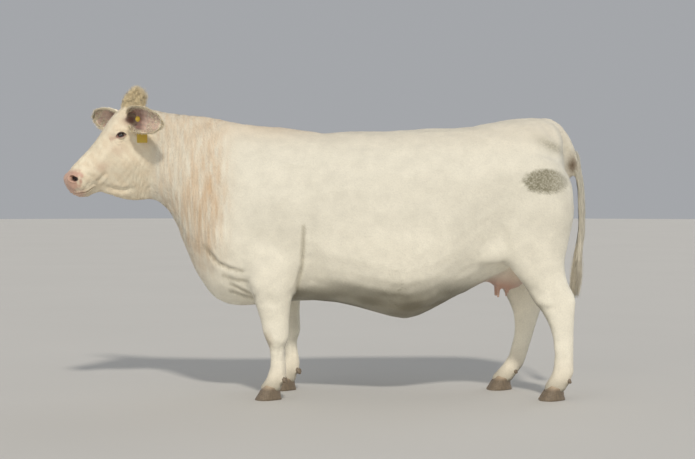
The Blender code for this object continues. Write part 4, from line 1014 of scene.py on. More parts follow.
def mud_share(points):
    """Dried mud on her left: the patch she has lain on, a streak above it, and specks on ribs and belly."""
    x, y, z = points.T
    left = y < 0
    # The patch is firm on its front and lower edge, and fades backwards
    a, b = (x - 1.042) / 0.122, (z - 1.047) / 0.063
    away = np.hypot(a, b) + 0.06 * ripple(points, 0.03, 26)
    inside = smooth_step(away, 1.06, 0.78 - 0.25 * np.clip(a, 0, 1))
    mud = 0.95 * inside * (1 - 0.35 * smooth_step(a, -0.2, 0.9)) * (left & (z > 0.9))
    slope = z - 1.215 + 0.45 * (x - 1.08)
    mud += 0.62 * np.exp(-((slope / 0.026) ** 2) - ((x - 1.08) / 0.07) ** 2) * left
    specks = np.clip(ripple(points, 0.012, 25) - 0.9, 0, 1)
    mud += 1.2 * specks * near(points, (0.335, -0.35, 0.545), (0.035, 0.3, 0.095)) * left
    mud += 0.9 * specks * near(points, (0.30, 0, 0.43), (0.45, 0.5, 0.06))
    return np.clip(mud, 0, 1)


def hair_way(points, normals):
    """The way that the hair lies, along the skin."""
    head = to_head(points)
    way = np.tile(np.array((0.85, 0.0, -0.52)), (len(points), 1))
    hanging = np.array((0.16, 0.0, -1.0))
    share = upright_share(points)[:, None]
    way = way * (1 - share) + hanging * share
    # On the head it spreads from a whorl between the eyes, down to the muzzle and up to the poll
    whorl = from_head((0.262, 0.0, 1.345))
    spread = unit(points - whorl)
    back = unit(head_way((-0.35, 0.0, -0.9)))
    cheek = smooth_step(head[:, 2], 1.22, 1.08)[:, None] * smooth_step(head[:, 0], 0.30, 0.20)[:, None]
    spread = unit(spread * (1 - cheek) + back * cheek)
    on_head = smooth_step(head[:, 0], 0.02, 0.10)[:, None]
    way = way * (1 - on_head) + spread * on_head
    # A slow swirl keeps the lie from being the same all over
    turn = (0.22 * ripple(points, 0.20, 31) + 0.05 * ripple(points, 0.045, 32))[:, None]
    way = unit(way - normals * np.sum(way * normals, axis=1, keepdims=True))
    return unit(way + np.cross(normals, way) * turn)


class Skin:
    """Triangles of a mesh with what is needed to set roots on it."""

    def __init__(self, item):
        item.data.calc_loop_triangles()
        corners = np.empty(len(item.data.loop_triangles) * 3, np.int64)
        item.data.loop_triangles.foreach_get("vertices", corners)
        self.corners = corners.reshape(-1, 3)
        self.points, self.normals = read_points(item), read_normals(item)
        a, b, c = (self.points[self.corners[:, k]] for k in range(3))
        self.areas = np.linalg.norm(np.cross(b - a, c - a), axis=1) / 2
        self.middles = (a + b + c) / 3
        self.facing = unit(self.normals[self.corners].mean(axis=1))

    def scatter(self, density, seed):
        """Roots and normals, so many to the square metre at each triangle."""
        draw = np.random.default_rng(seed)
        wanted = density * self.areas
        count = np.floor(wanted + draw.random(len(wanted))).astype(int)
        chosen = np.repeat(np.arange(len(wanted)), count)
        u, v = draw.random(len(chosen)), draw.random(len(chosen))
        over = u + v > 1
        u, v = np.where(over, 1 - u, u), np.where(over, 1 - v, v)
        weights = np.stack((1 - u - v, u, v), axis=1)[:, :, None]
        corners = self.corners[chosen]
        roots, normals = (
            (values[corners] * weights).sum(axis=1) for values in (self.points, self.normals))
        return roots, unit(normals)


def strand_mesh(name, path, face, half, colours, mud, patch, flat=0.42, own=0.4, root_shade=0.93):
    """One mesh of tapered tufts: each has a three-sided ring at every step of its path but the last.

    path is (tufts, steps, 3), face the way that each flat side looks, half the half widths at
    every ring, colours (tufts, 3), mud (tufts,) and patch each root's place on the unwrap.
    `flat` is a tuft's thickness for its width. It is shaded mostly as the skin under it, and by
    the share `own` as its own round form: wholly so if that is 1. The last argument darkens its root as
    painted shade.
    """
    count, steps, _ = path.shape
    rings = steps - 1
    run = np.gradient(path, axis=1)
    side = unit(np.cross(face[:, None, :], run))
    up = unit(np.cross(run, side))
    half = half[:, :rings, None]
    middle, side, up = path[:, :-1], side[:, :-1], up[:, :-1]
    ring = np.stack((middle + side * half, middle + up * half * flat * 2, middle - side * half), axis=2)
    verts = np.concatenate((ring.reshape(count, rings * 3, 3), path[:, -1:]), axis=1)
    base = face[:, None]
    lean = np.stack((base + side * own, base + up * own, base - side * own), axis=2)
    shading = np.concatenate((lean.reshape(count, rings * 3, 3), base + unit(run[:, -1:]) * own), axis=1)
    faces = [(0, 1, 2)]
    for step in range(rings - 1):
        for k in range(3):
            a, b = step * 3 + k, step * 3 + (k + 1) % 3
            faces += [(a, a + 3, b), (b, a + 3, b + 3)]
    top, tip = (rings - 1) * 3, rings * 3
    faces += [(top + k, tip, top + (k + 1) % 3) for k in range(3)]
    faces = np.array(faces)
    first = verts[0]
    volume = np.einsum("ij,ij->i", first[faces[:, 0]], np.cross(first[faces[:, 1]], first[faces[:, 2]])).sum()
    if volume < 0:
        faces = faces[:, ::-1]
    size = rings * 3 + 1
    corners = (faces[None] + (np.arange(count) * size)[:, None, None]).reshape(-1)
    mesh = bpy.data.meshes.new(name)
    mesh.vertices.add(count * size)
    mesh.vertices.foreach_set("co", verts.astype(np.float32).ravel())
    mesh.loops.add(len(corners))
    mesh.loops.foreach_set("vertex_index", corners.astype(np.int32))
    total = len(corners) // 3
    mesh.polygons.add(total)
    mesh.polygons.foreach_set("loop_start", np.arange(0, len(corners), 3, dtype=np.int32))
    mesh.polygons.foreach_set("use_smooth", np.ones(total, bool))
    mesh.update(calc_edges=True)
    if own < 1:
        mesh.normals_split_custom_set_from_vertices(unit(shading).reshape(-1, 3).astype(np.float32))
    # Painted shade: hair is darkened at the root, where other hair shades it, and pale at the tip
    along = np.concatenate((np.repeat(np.arange(rings), 3), [rings])) / rings
    tone = root_shade + (1.02 - root_shade) * along
    item = add_object(name, mesh)
    put(item, "hide", (colours[:, None, :] * tone[None, :, None]).reshape(-1, 3))
    put(item, "mud", np.repeat(mud, size))
    # On the unwrap each tuft is a small shape about its root's place
    across = np.concatenate((np.tile((1.0, 0.0, -1.0), rings), [0.0]))
    shape = np.stack((across * 0.0015, (along - 0.5) * 0.003), axis=1)
    flat_uv = (patch[:, None, None, :] + shape[faces.reshape(-1)][None, :, None, :]).reshape(-1, 2)
    layer = mesh.uv_layers.new(name="OFBake")
    layer.data.foreach_set("uv", flat_uv.astype(np.float32).ravel())
    return item


def settled_paths(tree, root, normal, way, length, curl):
    """Paths of tufts that follow the skin's curve: sunk at the root, then just above it."""
    side = np.cross(normal, way)
    steps = [root - normal * 0.0010]
    for share, height in TUFT_HEIGHTS:
        aim = root + way * (length * share)[:, None] + side * (length * curl * share**2)[:, None]
        places = np.empty_like(aim)
        for index, point in enumerate(aim):
            place, facing, _, _ = tree.find_nearest(point)
            places[index] = place + facing * height
        steps.append(places)
    return np.stack(steps, axis=1)


def lying_paths(root, way, normal, length, lift, curl):
    """Paths of tufts that leave the skin at a low angle and bend back to it."""
    side = np.cross(normal, way)
    steps = []
    for share in (0, 0.4, 0.75, 1.0):
        rise = length * lift * (share - 0.55 * share**2) - 0.001 * (1 - share)
        aside = length * curl * share**2
        steps.append(root + way * (length * share)[:, None] + normal * rise[:, None] + side * aside[:, None])
    return np.stack(steps, axis=1)


def unwrap(points):
    """Where places on the hide lie on its unwrap: a sleeve for each part of the body."""

    def turned(first, second):
        return (np.arctan2(first, second) / (2 * math.pi)) % 1.0

    x, y, z = points.T
    reach, across, height = to_head(points).T
    on_head = reach > 0.02
    legs = (z < 0.56) & (np.abs(y) > 0.10) & ~on_head
    hind, right = x > 0.4, y > 0
    leg_x = np.where(hind, np.where(right, 0.97, 1.10), np.where(right, -0.19, -0.235))
    leg_left = 0.65 + 0.085 * (hind * 2 + right * 1)
    # Each sleeve: its places, left edge, width and share round it, then low edge, height and share along it
    sleeves = (
        (np.ones(len(points), bool), 0.01, 0.62, turned(y, z - 0.92), 0.01, 0.98, (x + 1.0) / 2.25),
        (on_head, 0.65, 0.34, turned(across, height - 1.16), 0.01, 0.33, reach / 0.50),
        (legs, leg_left, 0.08, turned(np.abs(y) - 0.19, x - leg_x), 0.36, 0.34, z / 0.56),
        (x > 1.20, 0.65, 0.10, turned(y, x - 1.24), 0.72, 0.26, z / 1.4),
    )
    places = np.empty((len(points), 2))
    for part, left, width, u, low, tall, v in sleeves:
        sleeve = np.stack((left + width * u, low + tall * np.clip(v, 0, 1)), axis=1)
        places[part] = sleeve[part]
    return places


class COW_OT_coat(bpy.types.Operator):
    """Grows the short coat: tufts that follow the lie, smallest on face and feet"""

    bl_idname = "cow.coat"
    bl_label = "Coat"

    def execute(self, context):
        props, hide = context.scene.cow_coat, bpy.data.objects["hide"]
        skin = Skin(hide)
        density, _, _ = self.measures(skin.middles, skin.facing, props)
        root, normal = skin.scatter(density, 41)
        _, length, width = self.measures(root, normal, props)
        colours, mud, _ = hide_look(root, normal, context.scene.cow_hide)
        draw = np.random.default_rng(42)
        streak = ripple(root, (0.013, 0.05, 0.20), 43)
        neck = neck_share(root)
        tone = 1 + 0.025 * draw.normal(size=len(root)) + 0.12 * neck * np.tanh(1.5 * streak)
        colours = np.clip(colours * tone[:, None], 0, 1)
        length = length * draw.uniform(0.75, 1.2, len(root)) * (1 + 0.10 * neck * streak)
        way = hair_way(root, normal)
        curl = draw.normal(0, 0.10, len(root))
        patch = unwrap(root)
        tree = BVHTree.FromObject(hide, context.evaluated_depsgraph_get())
        for name, mask in self.groups(root).items():
            chosen = np.flatnonzero(mask)
            if len(chosen) == 0:
                raise RuntimeError(f"no tuft grows on {name}")
            order = chosen[np.argsort(root[chosen, 0], kind="stable")]
            parts = max(1, math.ceil(len(order) * TUFT_TRIANGLES / PIECE_TRIANGLES))
            for index, part in enumerate(np.array_split(order, parts)):
                path = settled_paths(tree, root[part], normal[part], way[part], length[part], curl[part])
                half = width[part, None] / 2 * np.array((0.85, 0.80))
                label = name if parts == 1 else f"{name}_{index + 1}"
                made = strand_mesh(
                    label, path, normal[part], half, colours[part], mud[part], patch[part], flat=0.16)
                finish_piece(made, "coat", "cattle hair")
        return {"FINISHED"}

    def groups(self, root):
        head = to_head(root)
        on_head = head[:, 0] > 0.03
        leg = (root[:, 2] < 0.52) & (np.abs(root[:, 1]) > 0.10) & ~on_head
        tail = (root[:, 0] > 1.195) & ~leg
        neck = (root[:, 0] < -0.44) & ~on_head & ~leg
        rest = ~(on_head | leg | tail | neck)
        left = root[:, 1] < 0
        return {
            "coat_head": on_head, "coat_front_legs": leg & (root[:, 0] < 0.4),
            "coat_hind_legs": leg & (root[:, 0] >= 0.4), "coat_tail": tail,
            "coat_neck": neck, "coat_left_side": rest & left, "coat_right_side": rest & ~left,
        }

    def measures(self, points, normals, props):
        """Tufts to the square metre, and their length and width, at places on the body."""
        x, y, z = points.T
        reach, across, height = to_head(points).T
        on_head = smooth_step(reach, 0.02, 0.10)
        neck = neck_share(points)
        low_leg = smooth_step(z, 0.50, 0.36) * (np.abs(y) > 0.09)
        length = props.body_length + (props.neck_length - props.body_length) * neck
        length = length + 0.010 * smooth_step(-normals[:, 2], 0.4, 0.9) * smooth_step(z, 0.75, 0.6)
        length = length + 0.012 * near(points, (-0.55, 0, 0.60), (0.15, 0.4, 0.14))
        length = length + 0.010 * near(points, (1.13, 0, 0.85), (0.09, 0.5, 0.25))
        sizes = np.stack((props.per_metre * (1 + 0.3 * neck), length, props.width * (1 + 0.25 * neck)))
        jaw = smooth_step(height, 1.03, 0.98) * smooth_step(reach, 0.30, 0.22)
        # Share of a part of the body at each place, with its tufts' density, length and width
        parts = (
            (low_leg, 15000, props.leg_length, 0.0026),
            (low_leg * smooth_step(z, 0.085, 0.070), 30000, 0.017, 0.0022),  # over the hooves
            (smooth_step(x, 1.18, 1.21), 17000, 0.024, 0.0026),  # tail
            (on_head, 22000, props.face_length * 1.4, 0.0021),
            (smooth_step(reach, 0.16, 0.26), 32000, props.face_length, 0.0017),
            (on_head * smooth_step(height, 1.32, 1.40), 24000, 0.021, 0.0022),  # round the poll
            (on_head * jaw, 18000, 0.018, 0.0024),
            (smooth_step(reach, 0.345, 0.385), 34000, 0.0050, 0.0012),  # muzzle
        )
        for share, *target in parts:
            sizes = sizes * (1 - share) + np.outer(target, share)
        sizes[0] = sizes[0] * (0.04 + 0.96 * (1 - self.bareness(reach, height)))
        udder = udder_share(points)
        density, length, width = sizes * (1 - udder) + np.outer((5000, 0.007, 0.0014), udder)
        # None grows on eyes, nostrils and hooves
        for place in eye_places().values():
            inside, distance, _, _ = lid_edge(points, place)
            density = np.where((distance < 0.060) & (inside > -0.0030), 0, density)
        hole = (np.hypot(reach - NOSTRIL[0] + 0.004, height - NOSTRIL[1]) < 0.021) & (across != 0)
        return np.where(hole | (z < 0.062), 0, density), length, width

    def bareness(self, reach, height):
        """1 on the bare pad of the muzzle and the lips."""
        pad = smooth_step(reach + 0.30 * (height - 1.06) * (height < 1.09), 0.392, 0.420)
        lips = smooth_step(height, 1.015, 0.985) * smooth_step(reach, 0.37, 0.40)
        return np.clip(np.maximum(pad * smooth_step(height, 1.115, 1.085), lips), 0, 1)


# Root, control point and tip of each ear, and where its cup faces
EARS = {
    "left": ((-0.9568, -0.1179, 1.341), (-0.9318, -0.2619, 1.354), (-0.7728, -0.2889, 1.313),
             (-0.45, -0.89, -0.08)),
    "right": ((-0.9848, 0.0601, 1.322), (-1.0668, 0.1501, 1.362), (-1.1668, 0.2051, 1.362),
              (-0.50, -0.75, -0.40)),
}
# Share along the ear, half width and depth of the cup, and how far round it rolls, in degrees
EAR_SHAPE = (
    (0.00, 0.027, 0.050, 150), (0.10, 0.034, 0.050, 125), (0.22, 0.050, 0.042, 100), (0.36, 0.061, 0.034, 88),
    (0.50, 0.063, 0.028, 86), (0.70, 0.060, 0.022, 86), (0.88, 0.049, 0.014, 86), (1.00, 0.034, 0.005, 86),
)
EAR_THICKNESS = 0.0046
EAR_RIDGES = (-0.55, -0.18, 0.22, 0.58)  # where they run across the cup, from -1 to 1
# Hair of an ear: tufts, range along the ear, range across the cup, whether on both of its sides, and whether
# crowded to the tip; then height over the middle of the skin, way (along, across, out, and side shown),
# length, width and rise
EAR_HAIR = (
    (2500, (0.04, 0.98), (-1, 1), False, False, -0.0018, (1.0, 0.35, 0.0, -1), 0.013, 0.0016, 0.16),  # behind
    (1500, (0.12, 1.0), (0.92, 1.0), True, False, 0.0, (0.75, 1.0, 0.25, 1), 0.021, 0.0013, -0.15),  # rim
    (260, (0.95, 1.0), (-1, 1), False, False, 0.0, (1.0, 0.1, 0.1, 1), 0.022, 0.0013, 0.1),  # tip
    (620, (0.14, 0.70), (0.80, 0.97), True, False, 0.0015, (0.60, -0.60, 0.35, 1), 0.018, 0.0009, 0.20),
    (1000, (0.70, 1.0), (-0.92, 0.92), False, True, 0.0016, (1.0, 0.2, 0.12, 1), 0.015, 0.0016, 0.12),
)
TAG_UP_EAR, TAG_LEAN = 0.42, 0.6  # share along the ear, and how far the tag turns to her side


def softened(share, shares, values):
    """Values read between the rows of a table, with its corners rounded."""
    steps = (-0.05, -0.025, 0.0, 0.025, 0.05)
    return np.mean([np.interp(share + step, shares, values) for step in steps], axis=0)


def ear_points(word, share, column, lift):
    """Points of an ear's cup, with the ways out of the cup, along the ear and across it."""
    shares, halves, depths, wraps = zip(*EAR_SHAPE)
    root, control, tip, facing = (np.array(place) for place in EARS[word])
    t = share[..., None]
    middle = root * (1 - t) ** 2 + control * 2 * t * (1 - t) + tip * t**2
    run = unit((control - root) * (1 - t) + (tip - control) * t)
    facing = unit(facing - run * np.sum(run * facing, axis=-1, keepdims=True))
    wide = np.cross(run, facing)
    tip_round = np.sqrt(np.clip((1.002 - share) / 0.10, 0, 1))
    half = (softened(share, shares, halves) * tip_round)[..., None]
    depth = softened(share, shares, depths)[..., None]
    wrap = np.radians(softened(share, shares, wraps))[..., None]
    turn = column[..., None] * wrap
    side = np.sin(turn) / np.sin(np.minimum(wrap, math.pi / 2))
    sink = (np.cos(turn) - np.cos(wrap)) / (1 - np.cos(wrap))
    out = facing * np.cos(turn) - wide * np.sin(turn)
    point = middle + wide * side * half - facing * sink * depth + out * lift[..., None]
    return point, out, run, wide * np.cos(turn) + facing * np.sin(turn)


class COW_OT_ears(bpy.types.Operator):
    """Models each ear as a thin cupped shell with ridges inside, and grows its hair"""

    bl_idname = "cow.ears"
    bl_label = "Ears"

    def execute(self, context):
        props = context.scene.cow_head
        for word in ("left", "right"):
            finish_piece(self.shell(word, props), "bare_skin", "thin ear skin", "ear_" + word)
            finish_piece(self.hair(word, props), "coat", "cattle hair")
        return {"FINISHED"}

    def shell(self, word, props):
        shares, columns = np.linspace(0, 1, 49), np.linspace(-1, 1, 41)
        share, column = np.meshgrid(shares, columns, indexing="ij")
        thick = EAR_THICKNESS * (1.6 - 0.9 * share) * (0.40 + 0.60 * (1 - np.abs(column) ** 6)) / 2
        inner, out, run, _ = ear_points(word, share, column, thick)
        outer, _, _, _ = ear_points(word, share, column, -thick)
        # The root runs on into the head
        sunk = run * (0.020 * (1 - np.clip(share / 0.12, 0, 1)))[..., None]
        inner, outer = inner - sunk, outer - sunk
        # Ridges run up the inside of the cup and fade towards its tip
        ridges = sum(bell(column, place * (1 - 0.4 * share), 0.075) for place in EAR_RIDGES)
        fade = smooth_step(share, 0.04, 0.16) * smooth_step(share, 0.80, 0.45)
        inner = inner + out * (0.0030 * ridges * fade)[..., None]
        wave = 0.0015 * ripple(inner.reshape(-1, 3), 0.03, 51).reshape(share.shape)[..., None] * out
        inner, outer = inner + wave, outer + wave
        ring = np.concatenate((inner, outer[:, ::-1]), axis=1)
        rows, around = ring.shape[:2]
        faces = []
        for row in range(rows - 1):
            for k in range(around):
                a, b = row * around + k, row * around + (k + 1) % around
                faces.append((a, b, b + around, a + around))
        for start in (0, (rows - 1) * around):
            for k in range(around // 2 - 1):
                faces.append((start + k, start + k + 1, start + around - 2 - k, start + around - 1 - k))
        shape = shape_of(ring.reshape(-1, 3), faces)
        bmesh.ops.recalc_face_normals(shape, faces=shape.faces[:])
        item = object_of(shape, "ear_shell_" + word)
        relax(item, 2)
        points = read_points(item)
        bare = smooth_step(1 - np.abs(column), 0.03, 0.16) * smooth_step(share, 1.03, 0.92)
        bare = np.concatenate((bare, 0 * bare), axis=1).ravel()
        ridge = np.concatenate((ridges, 0 * ridges), axis=1).ravel()
        blotches = 1 + 0.10 * ripple(points, 0.012, 52)
        lobe = smooth_step(share, 0.50, 0.70)
        lobe = np.concatenate((lobe, lobe), axis=1).ravel()[:, None]
        skin = np.array(props.ear_skin) * (1 - lobe) + np.array(props.ear_lobe) * lobe
        skin = skin * (0.85 + 0.20 * ridge[:, None]) * blotches[:, None]
        colours = np.array(props.ear_hair) * (1 - bare[:, None]) + skin * bare[:, None]
        put(item, "hide", np.clip(colours, 0, 1))
        put(item, "bare", bare)
        smooth(item)
        return item

    def hair(self, word, props):
        """Short hair behind the ear, a fringe round its rim and long hairs that close over the cup."""
        draw = np.random.default_rng(53 if word == "left" else 54)
        parts = []
        for count, (start, end), (low, high), both, crowded, lift, away, length, width, rise in EAR_HAIR:
            side = np.where(draw.random(count) < 0.5, -1.0, 1.0) if both else 1.0
            if crowded:
                share = end - (end - start) * draw.random(count) ** 1.5
            else:
                share = draw.uniform(start, end, count)
            column = side * draw.uniform(low, high, count)
            point, out, run, across = ear_points(word, share, column, np.full(count, lift))
            way = unit(run * away[0] + across * np.sign(column)[:, None] * away[1] + out * away[2])
            way = unit(way + draw.normal(0, 0.16, (count, 3)))
            face = out * away[3]
            long = length * draw.uniform(0.65, 1.2, count)
            path = lying_paths(point, way, face, long, rise, draw.normal(0, 0.18, count))
            left = 0.77 if word == "left" else 0.88
            patch = np.stack((left + 0.09 * share, 0.74 + 0.10 * (column + 1)), axis=1)
            tone = np.clip(1 + draw.normal(0, 0.05, count), 0.8, 1.08)
            parts.append((path, face, np.full(count, width), patch, tone))
        path, face, width, patch, tone = (np.concatenate(group) for group in zip(*parts))
        colours = np.clip(np.array(props.ear_hair) * tone[:, None], 0, 1)
        half = width[:, None] / 2 * np.array((0.9, 1.0, 0.6))
        return strand_mesh("ear_hair_" + word, path, face, half, colours, np.zeros(len(path)), patch, own=1)


def almond(place, radius, count=96):
    """Points of the lids' opening on a ball, and how far each lies above (+) or below (-)."""
    centre, axis, forward, up = place
    turn = np.linspace(0, 2 * math.pi, count, endpoint=False)
    a = LID_HALF * np.cos(turn)
    b = np.where(np.sin(turn) > 0, *LID_ARCH) * np.sign(np.sin(turn)) * np.abs(np.sin(turn)) ** 1.5
    a, b = a * math.cos(LID_TILT) - b * math.sin(LID_TILT), a * math.sin(LID_TILT) + b * math.cos(LID_TILT)
    angle = np.hypot(a, b) / EYE_RADIUS
    flat = unit(a[:, None] * forward + b[:, None] * up)
    return centre + (flat * np.sin(angle)[:, None] + axis * np.cos(angle)[:, None]) * radius, turn


class COW_OT_eyes(bpy.types.Operator):
    """Sets the eyeballs, the moist margins of the lids and the lashes"""

    bl_idname = "cow.eyes"
    bl_label = "Eyes"

    def execute(self, context):
        props = context.scene.cow_head
        for word, place in eye_places().items():
            finish_piece(self.ball(word, place, props), "eye", "wet eyeball", "eye_" + word)
            finish_piece(self.rim(word, place, context.scene.cow_hide), "bare_skin", "moist lid margin")
            finish_piece(self.lashes(word, place, props), "coat", "cattle hair")
        return {"FINISHED"}

    def ball(self, word, place, props):
        """An eyeball with a raised cornea, a dark iris and a level oval pupil."""
        centre, axis, forward, up = place
        shape = bmesh.new()
        bmesh.ops.create_uvsphere(shape, u_segments=96, v_segments=64, radius=EYE_RADIUS - 0.0008)
        turn = Vector((0, 0, 1)).rotation_difference(Vector(axis)).to_matrix().to_4x4()
        bmesh.ops.transform(shape, matrix=Matrix.Translation(Vector(centre)) @ turn, verts=shape.verts[:])
        item = object_of(shape, "eyeball_" + word)
        points = read_points(item)
        away = unit(points - centre)
        facing = np.maximum(away @ axis, 0)
        write_points(item, points + away * (0.0010 * facing**8)[:, None])
        a, b = away @ forward * EYE_RADIUS, away @ up * EYE_RADIUS
        radius, turn = np.hypot(a, b), np.arctan2(b, a)
        streaks = 1 + 0.22 * np.sin(turn * 34) * np.sin(turn * 13 + 1)
        white, iris, pupil = np.array(linear("#B9A08C")), np.array(props.iris), np.array(linear("#07070B"))
        in_iris = smooth_step(radius, 0.0155, 0.0145)[:, None] * (facing > 0)[:, None]
        ring = 1 - 0.65 * bell(radius, 0.0145, 0.0016)
        in_pupil = smooth_step((a / 0.0085) ** 2 + (b / 0.0045) ** 2, 1.15, 0.9)[:, None]
        colours = white * (1 - in_iris) + iris * (streaks * ring)[:, None] * in_iris
        put(item, "hide", colours * (1 - in_pupil * in_iris) + pupil * in_pupil * in_iris)
        smooth(item)
        return item

    def rim(self, word, place, props):
        """The lids' moist margin as a closed tube, with the pink flesh in its inner corner."""
        centre = place[0]
        path, turn = almond(place, EYE_RADIUS + 0.0014)
        out = unit(path - centre)
        run = unit(np.roll(path, -1, axis=0) - np.roll(path, 1, axis=0))
        side = np.cross(run, out)
        sides = 10
        around = np.linspace(0, 2 * math.pi, sides, endpoint=False)[None, :, None]
        thick = 0.0014 + 0.0005 * np.maximum(np.sin(turn), 0)
        ring = side[:, None] * np.cos(around) + out[:, None] * np.sin(around) * 0.9
        ring = path[:, None] + thick[:, None, None] * ring
        count = len(path)
        faces = []
        for i in range(count):
            for k in range(sides):
                here, there, after = i * sides, (i + 1) % count * sides, (k + 1) % sides
                faces.append((here + k, here + after, there + after, there + k))
        shape = shape_of(ring.reshape(-1, 3), faces)
        corner = Vector(path[0] - out[0] * 0.0012 + (path[count // 2] - path[0]) * 0.05)
        bmesh.ops.create_icosphere(shape, subdivisions=3, radius=0.0030, matrix=Matrix.Translation(corner))
        bmesh.ops.recalc_face_normals(shape, faces=shape.faces[:])
        item = object_of(shape, "lid_rim_" + word)
        points = read_points(item)
        pink, dark = np.array(props.lids), np.array(linear("#40322E"))
        inner = bell(np.linalg.norm(points - path[0], axis=1), 0, 0.011)
        upper = np.zeros(len(points))
        upper[:count * sides] = np.repeat(smooth_step(np.sin(turn), -0.15, 0.25), sides)
        share = np.clip(upper * (1 - inner) + 0.35 * (1 - inner) * (1 - upper), 0, 1)[:, None]
        put(item, "hide", pink * (1 - share) + dark * share)
        smooth(item)
        return item

    def lashes(self, word, place, props):
        """Long lashes above and a third as many short ones below, which point down and back."""
        centre, axis, forward, up = place
        draw = np.random.default_rng(55)
        path, turn = almond(place, EYE_RADIUS + 0.0022, 220)
        above = np.sin(turn) > 0.12
        below = (np.sin(turn) < -0.3) & (np.arange(len(turn)) % 3 == 0)
        chosen = above | below
        path, above = path[chosen], above[chosen]
        count = len(path)
        out = unit(path - centre)
        droop = np.where(above, -0.15, -0.45)[:, None] * up
        way = unit(out + axis * 0.4 + droop - forward * 0.35 + draw.normal(0, 0.10, (count, 3)))
        length = np.where(above, 0.014, 0.006) * draw.uniform(0.7, 1.15, count)
        bend = np.where(above, -0.18, 0.0) * length
        root = path - out * 0.0015
        steps = [
            root + way * (length * share)[:, None] + up * (bend * share**2)[:, None]
            for share in (0, 0.35, 0.7, 1.0)
        ]
        half = np.full((count, 3), 0.00042) * np.array((1.0, 0.8, 0.5))
        colours = np.tile(np.array(props.lash), (count, 1))
        return strand_mesh("lashes_" + word, np.stack(steps, axis=1), out, half, colours, np.zeros(count),
                           unwrap(path), flat=0.5)


def close_rings(shape, rings):
    """Sets walls between rings of points, and a face over each end."""
    for low, high in zip(rings, rings[1:]):
        for k in range(len(low)):
            after = (k + 1) % len(low)
            shape.faces.new((low[k], low[after], high[after], high[k]))
    shape.faces.new(rings[0][::-1])
    shape.faces.new(rings[-1])


def lathe(shape, centre, axis, profile, sides=48):
    """Turns a profile of (radius, height along the axis) into a closed solid."""
    axis = unit(np.array(axis))
    across = unit(np.cross(axis, (0, 0, 1.0)))
    other = np.cross(axis, across)
    turns = np.linspace(0, 2 * math.pi, sides, endpoint=False)
    rings = []
    for radius, height in profile:
        middle = centre + axis * height
        rings.append([
            shape.verts.new(middle + (across * math.cos(t) + other * math.sin(t)) * radius) for t in turns
        ])
    close_rings(shape, rings)


# Radius and height of the button's pin, rounded rim, sunk ring and boss, with the pin's end in it
BUTTON = (
    (0.0026, -0.0185), (0.0026, 0.0110), (0.0126, 0.0110), (0.0133, 0.0114), (0.0135, 0.0125),
    (0.0133, 0.0138), (0.0126, 0.0145), (0.0112, 0.0145), (0.0107, 0.0138), (0.0080, 0.0136),
    (0.0075, 0.0141), (0.0064, 0.0165), (0.0058, 0.0174), (0.0046, 0.0175), (0.0038, 0.0168),
    (0.0026, 0.0166),
)
PIN_HEAD = ((0.0045, -0.0215), (0.0056, -0.0207), (0.0060, -0.0190), (0.0060, -0.0160))
# Corners of the flag, and how round each is: a neck round the pin, sloped shoulders and a plate
FLAG = (
    ((-0.012, -0.012), 0.010), ((0.012, -0.012), 0.010), ((0.0135, 0.024), 0.008), ((0.0315, 0.044), 0.008),
    ((0.0315, 0.114), 0.006), ((-0.0315, 0.114), 0.006), ((-0.0315, 0.044), 0.008), ((-0.0135, 0.024), 0.008),
)
FLAG_BEHIND, FLAG_HALF, FLAG_LIP = 0.0165, 0.0010, 0.0007  # behind the ear, half thickness, round edge


class COW_OT_tag(bpy.types.Operator):
    """Makes the two halves of the ear tag: the round button and the flag behind the ear"""

    bl_idname = "cow.tag"
    bl_label = "Ear tag"

    def execute(self, context):
        point, out, _, _ = ear_points("left", np.array([TAG_UP_EAR]), np.array([0.0]), np.array([0.0]))
        place, out = point[0], unit(out[0] + (0, -TAG_LEAN, 0))
        shape = bmesh.new()
        lathe(shape, place, out, BUTTON)
        self.finish(shape, "tag_button")
        level = unit(np.cross((0, 0, 1.0), out))
        down = unit(np.cross(level, out))
        down = down if down[2] < 0 else -down
        outline = self.outline()
        shape = bmesh.new()
        middle = place - out * FLAG_BEHIND
        rings = []
        flat = FLAG_HALF - FLAG_LIP * 0.6
        for inset, height in ((FLAG_LIP, -FLAG_HALF), (0.0, -flat), (0.0, flat), (FLAG_LIP, FLAG_HALF)):
            shrunk = outline + unit(outline.mean(axis=0) - outline) * inset
            rings.append([shape.verts.new(middle + level * x + down * y + out * height) for x, y in shrunk])
        close_rings(shape, rings)
        lathe(shape, place, out, PIN_HEAD)
        self.finish(shape, "tag_flag")
        return {"FINISHED"}

    def outline(self):
        """The flag's edge, each of its corners rounded by a curve of seven points."""
        places, sizes = np.array([corner for corner, _ in FLAG]), [size for _, size in FLAG]
        points = []
        for index, (corner, size) in enumerate(zip(places, sizes)):
            before = unit(places[index - 1] - corner) * size
            after = unit(places[(index + 1) % len(places)] - corner) * size
            for t in np.linspace(0, 1, 7):
                points.append(corner + before * (1 - t) ** 2 + after * t**2)
        return np.array(points)

    def finish(self, shape, name):
        bmesh.ops.recalc_face_normals(shape, faces=shape.faces[:])
        item = object_of(shape, name)
        activate(item)
        bpy.ops.object.shade_smooth_by_angle(angle=math.radians(38))
        finish_piece(item, "tag", "moulded yellow plastic", "ear_" + name)


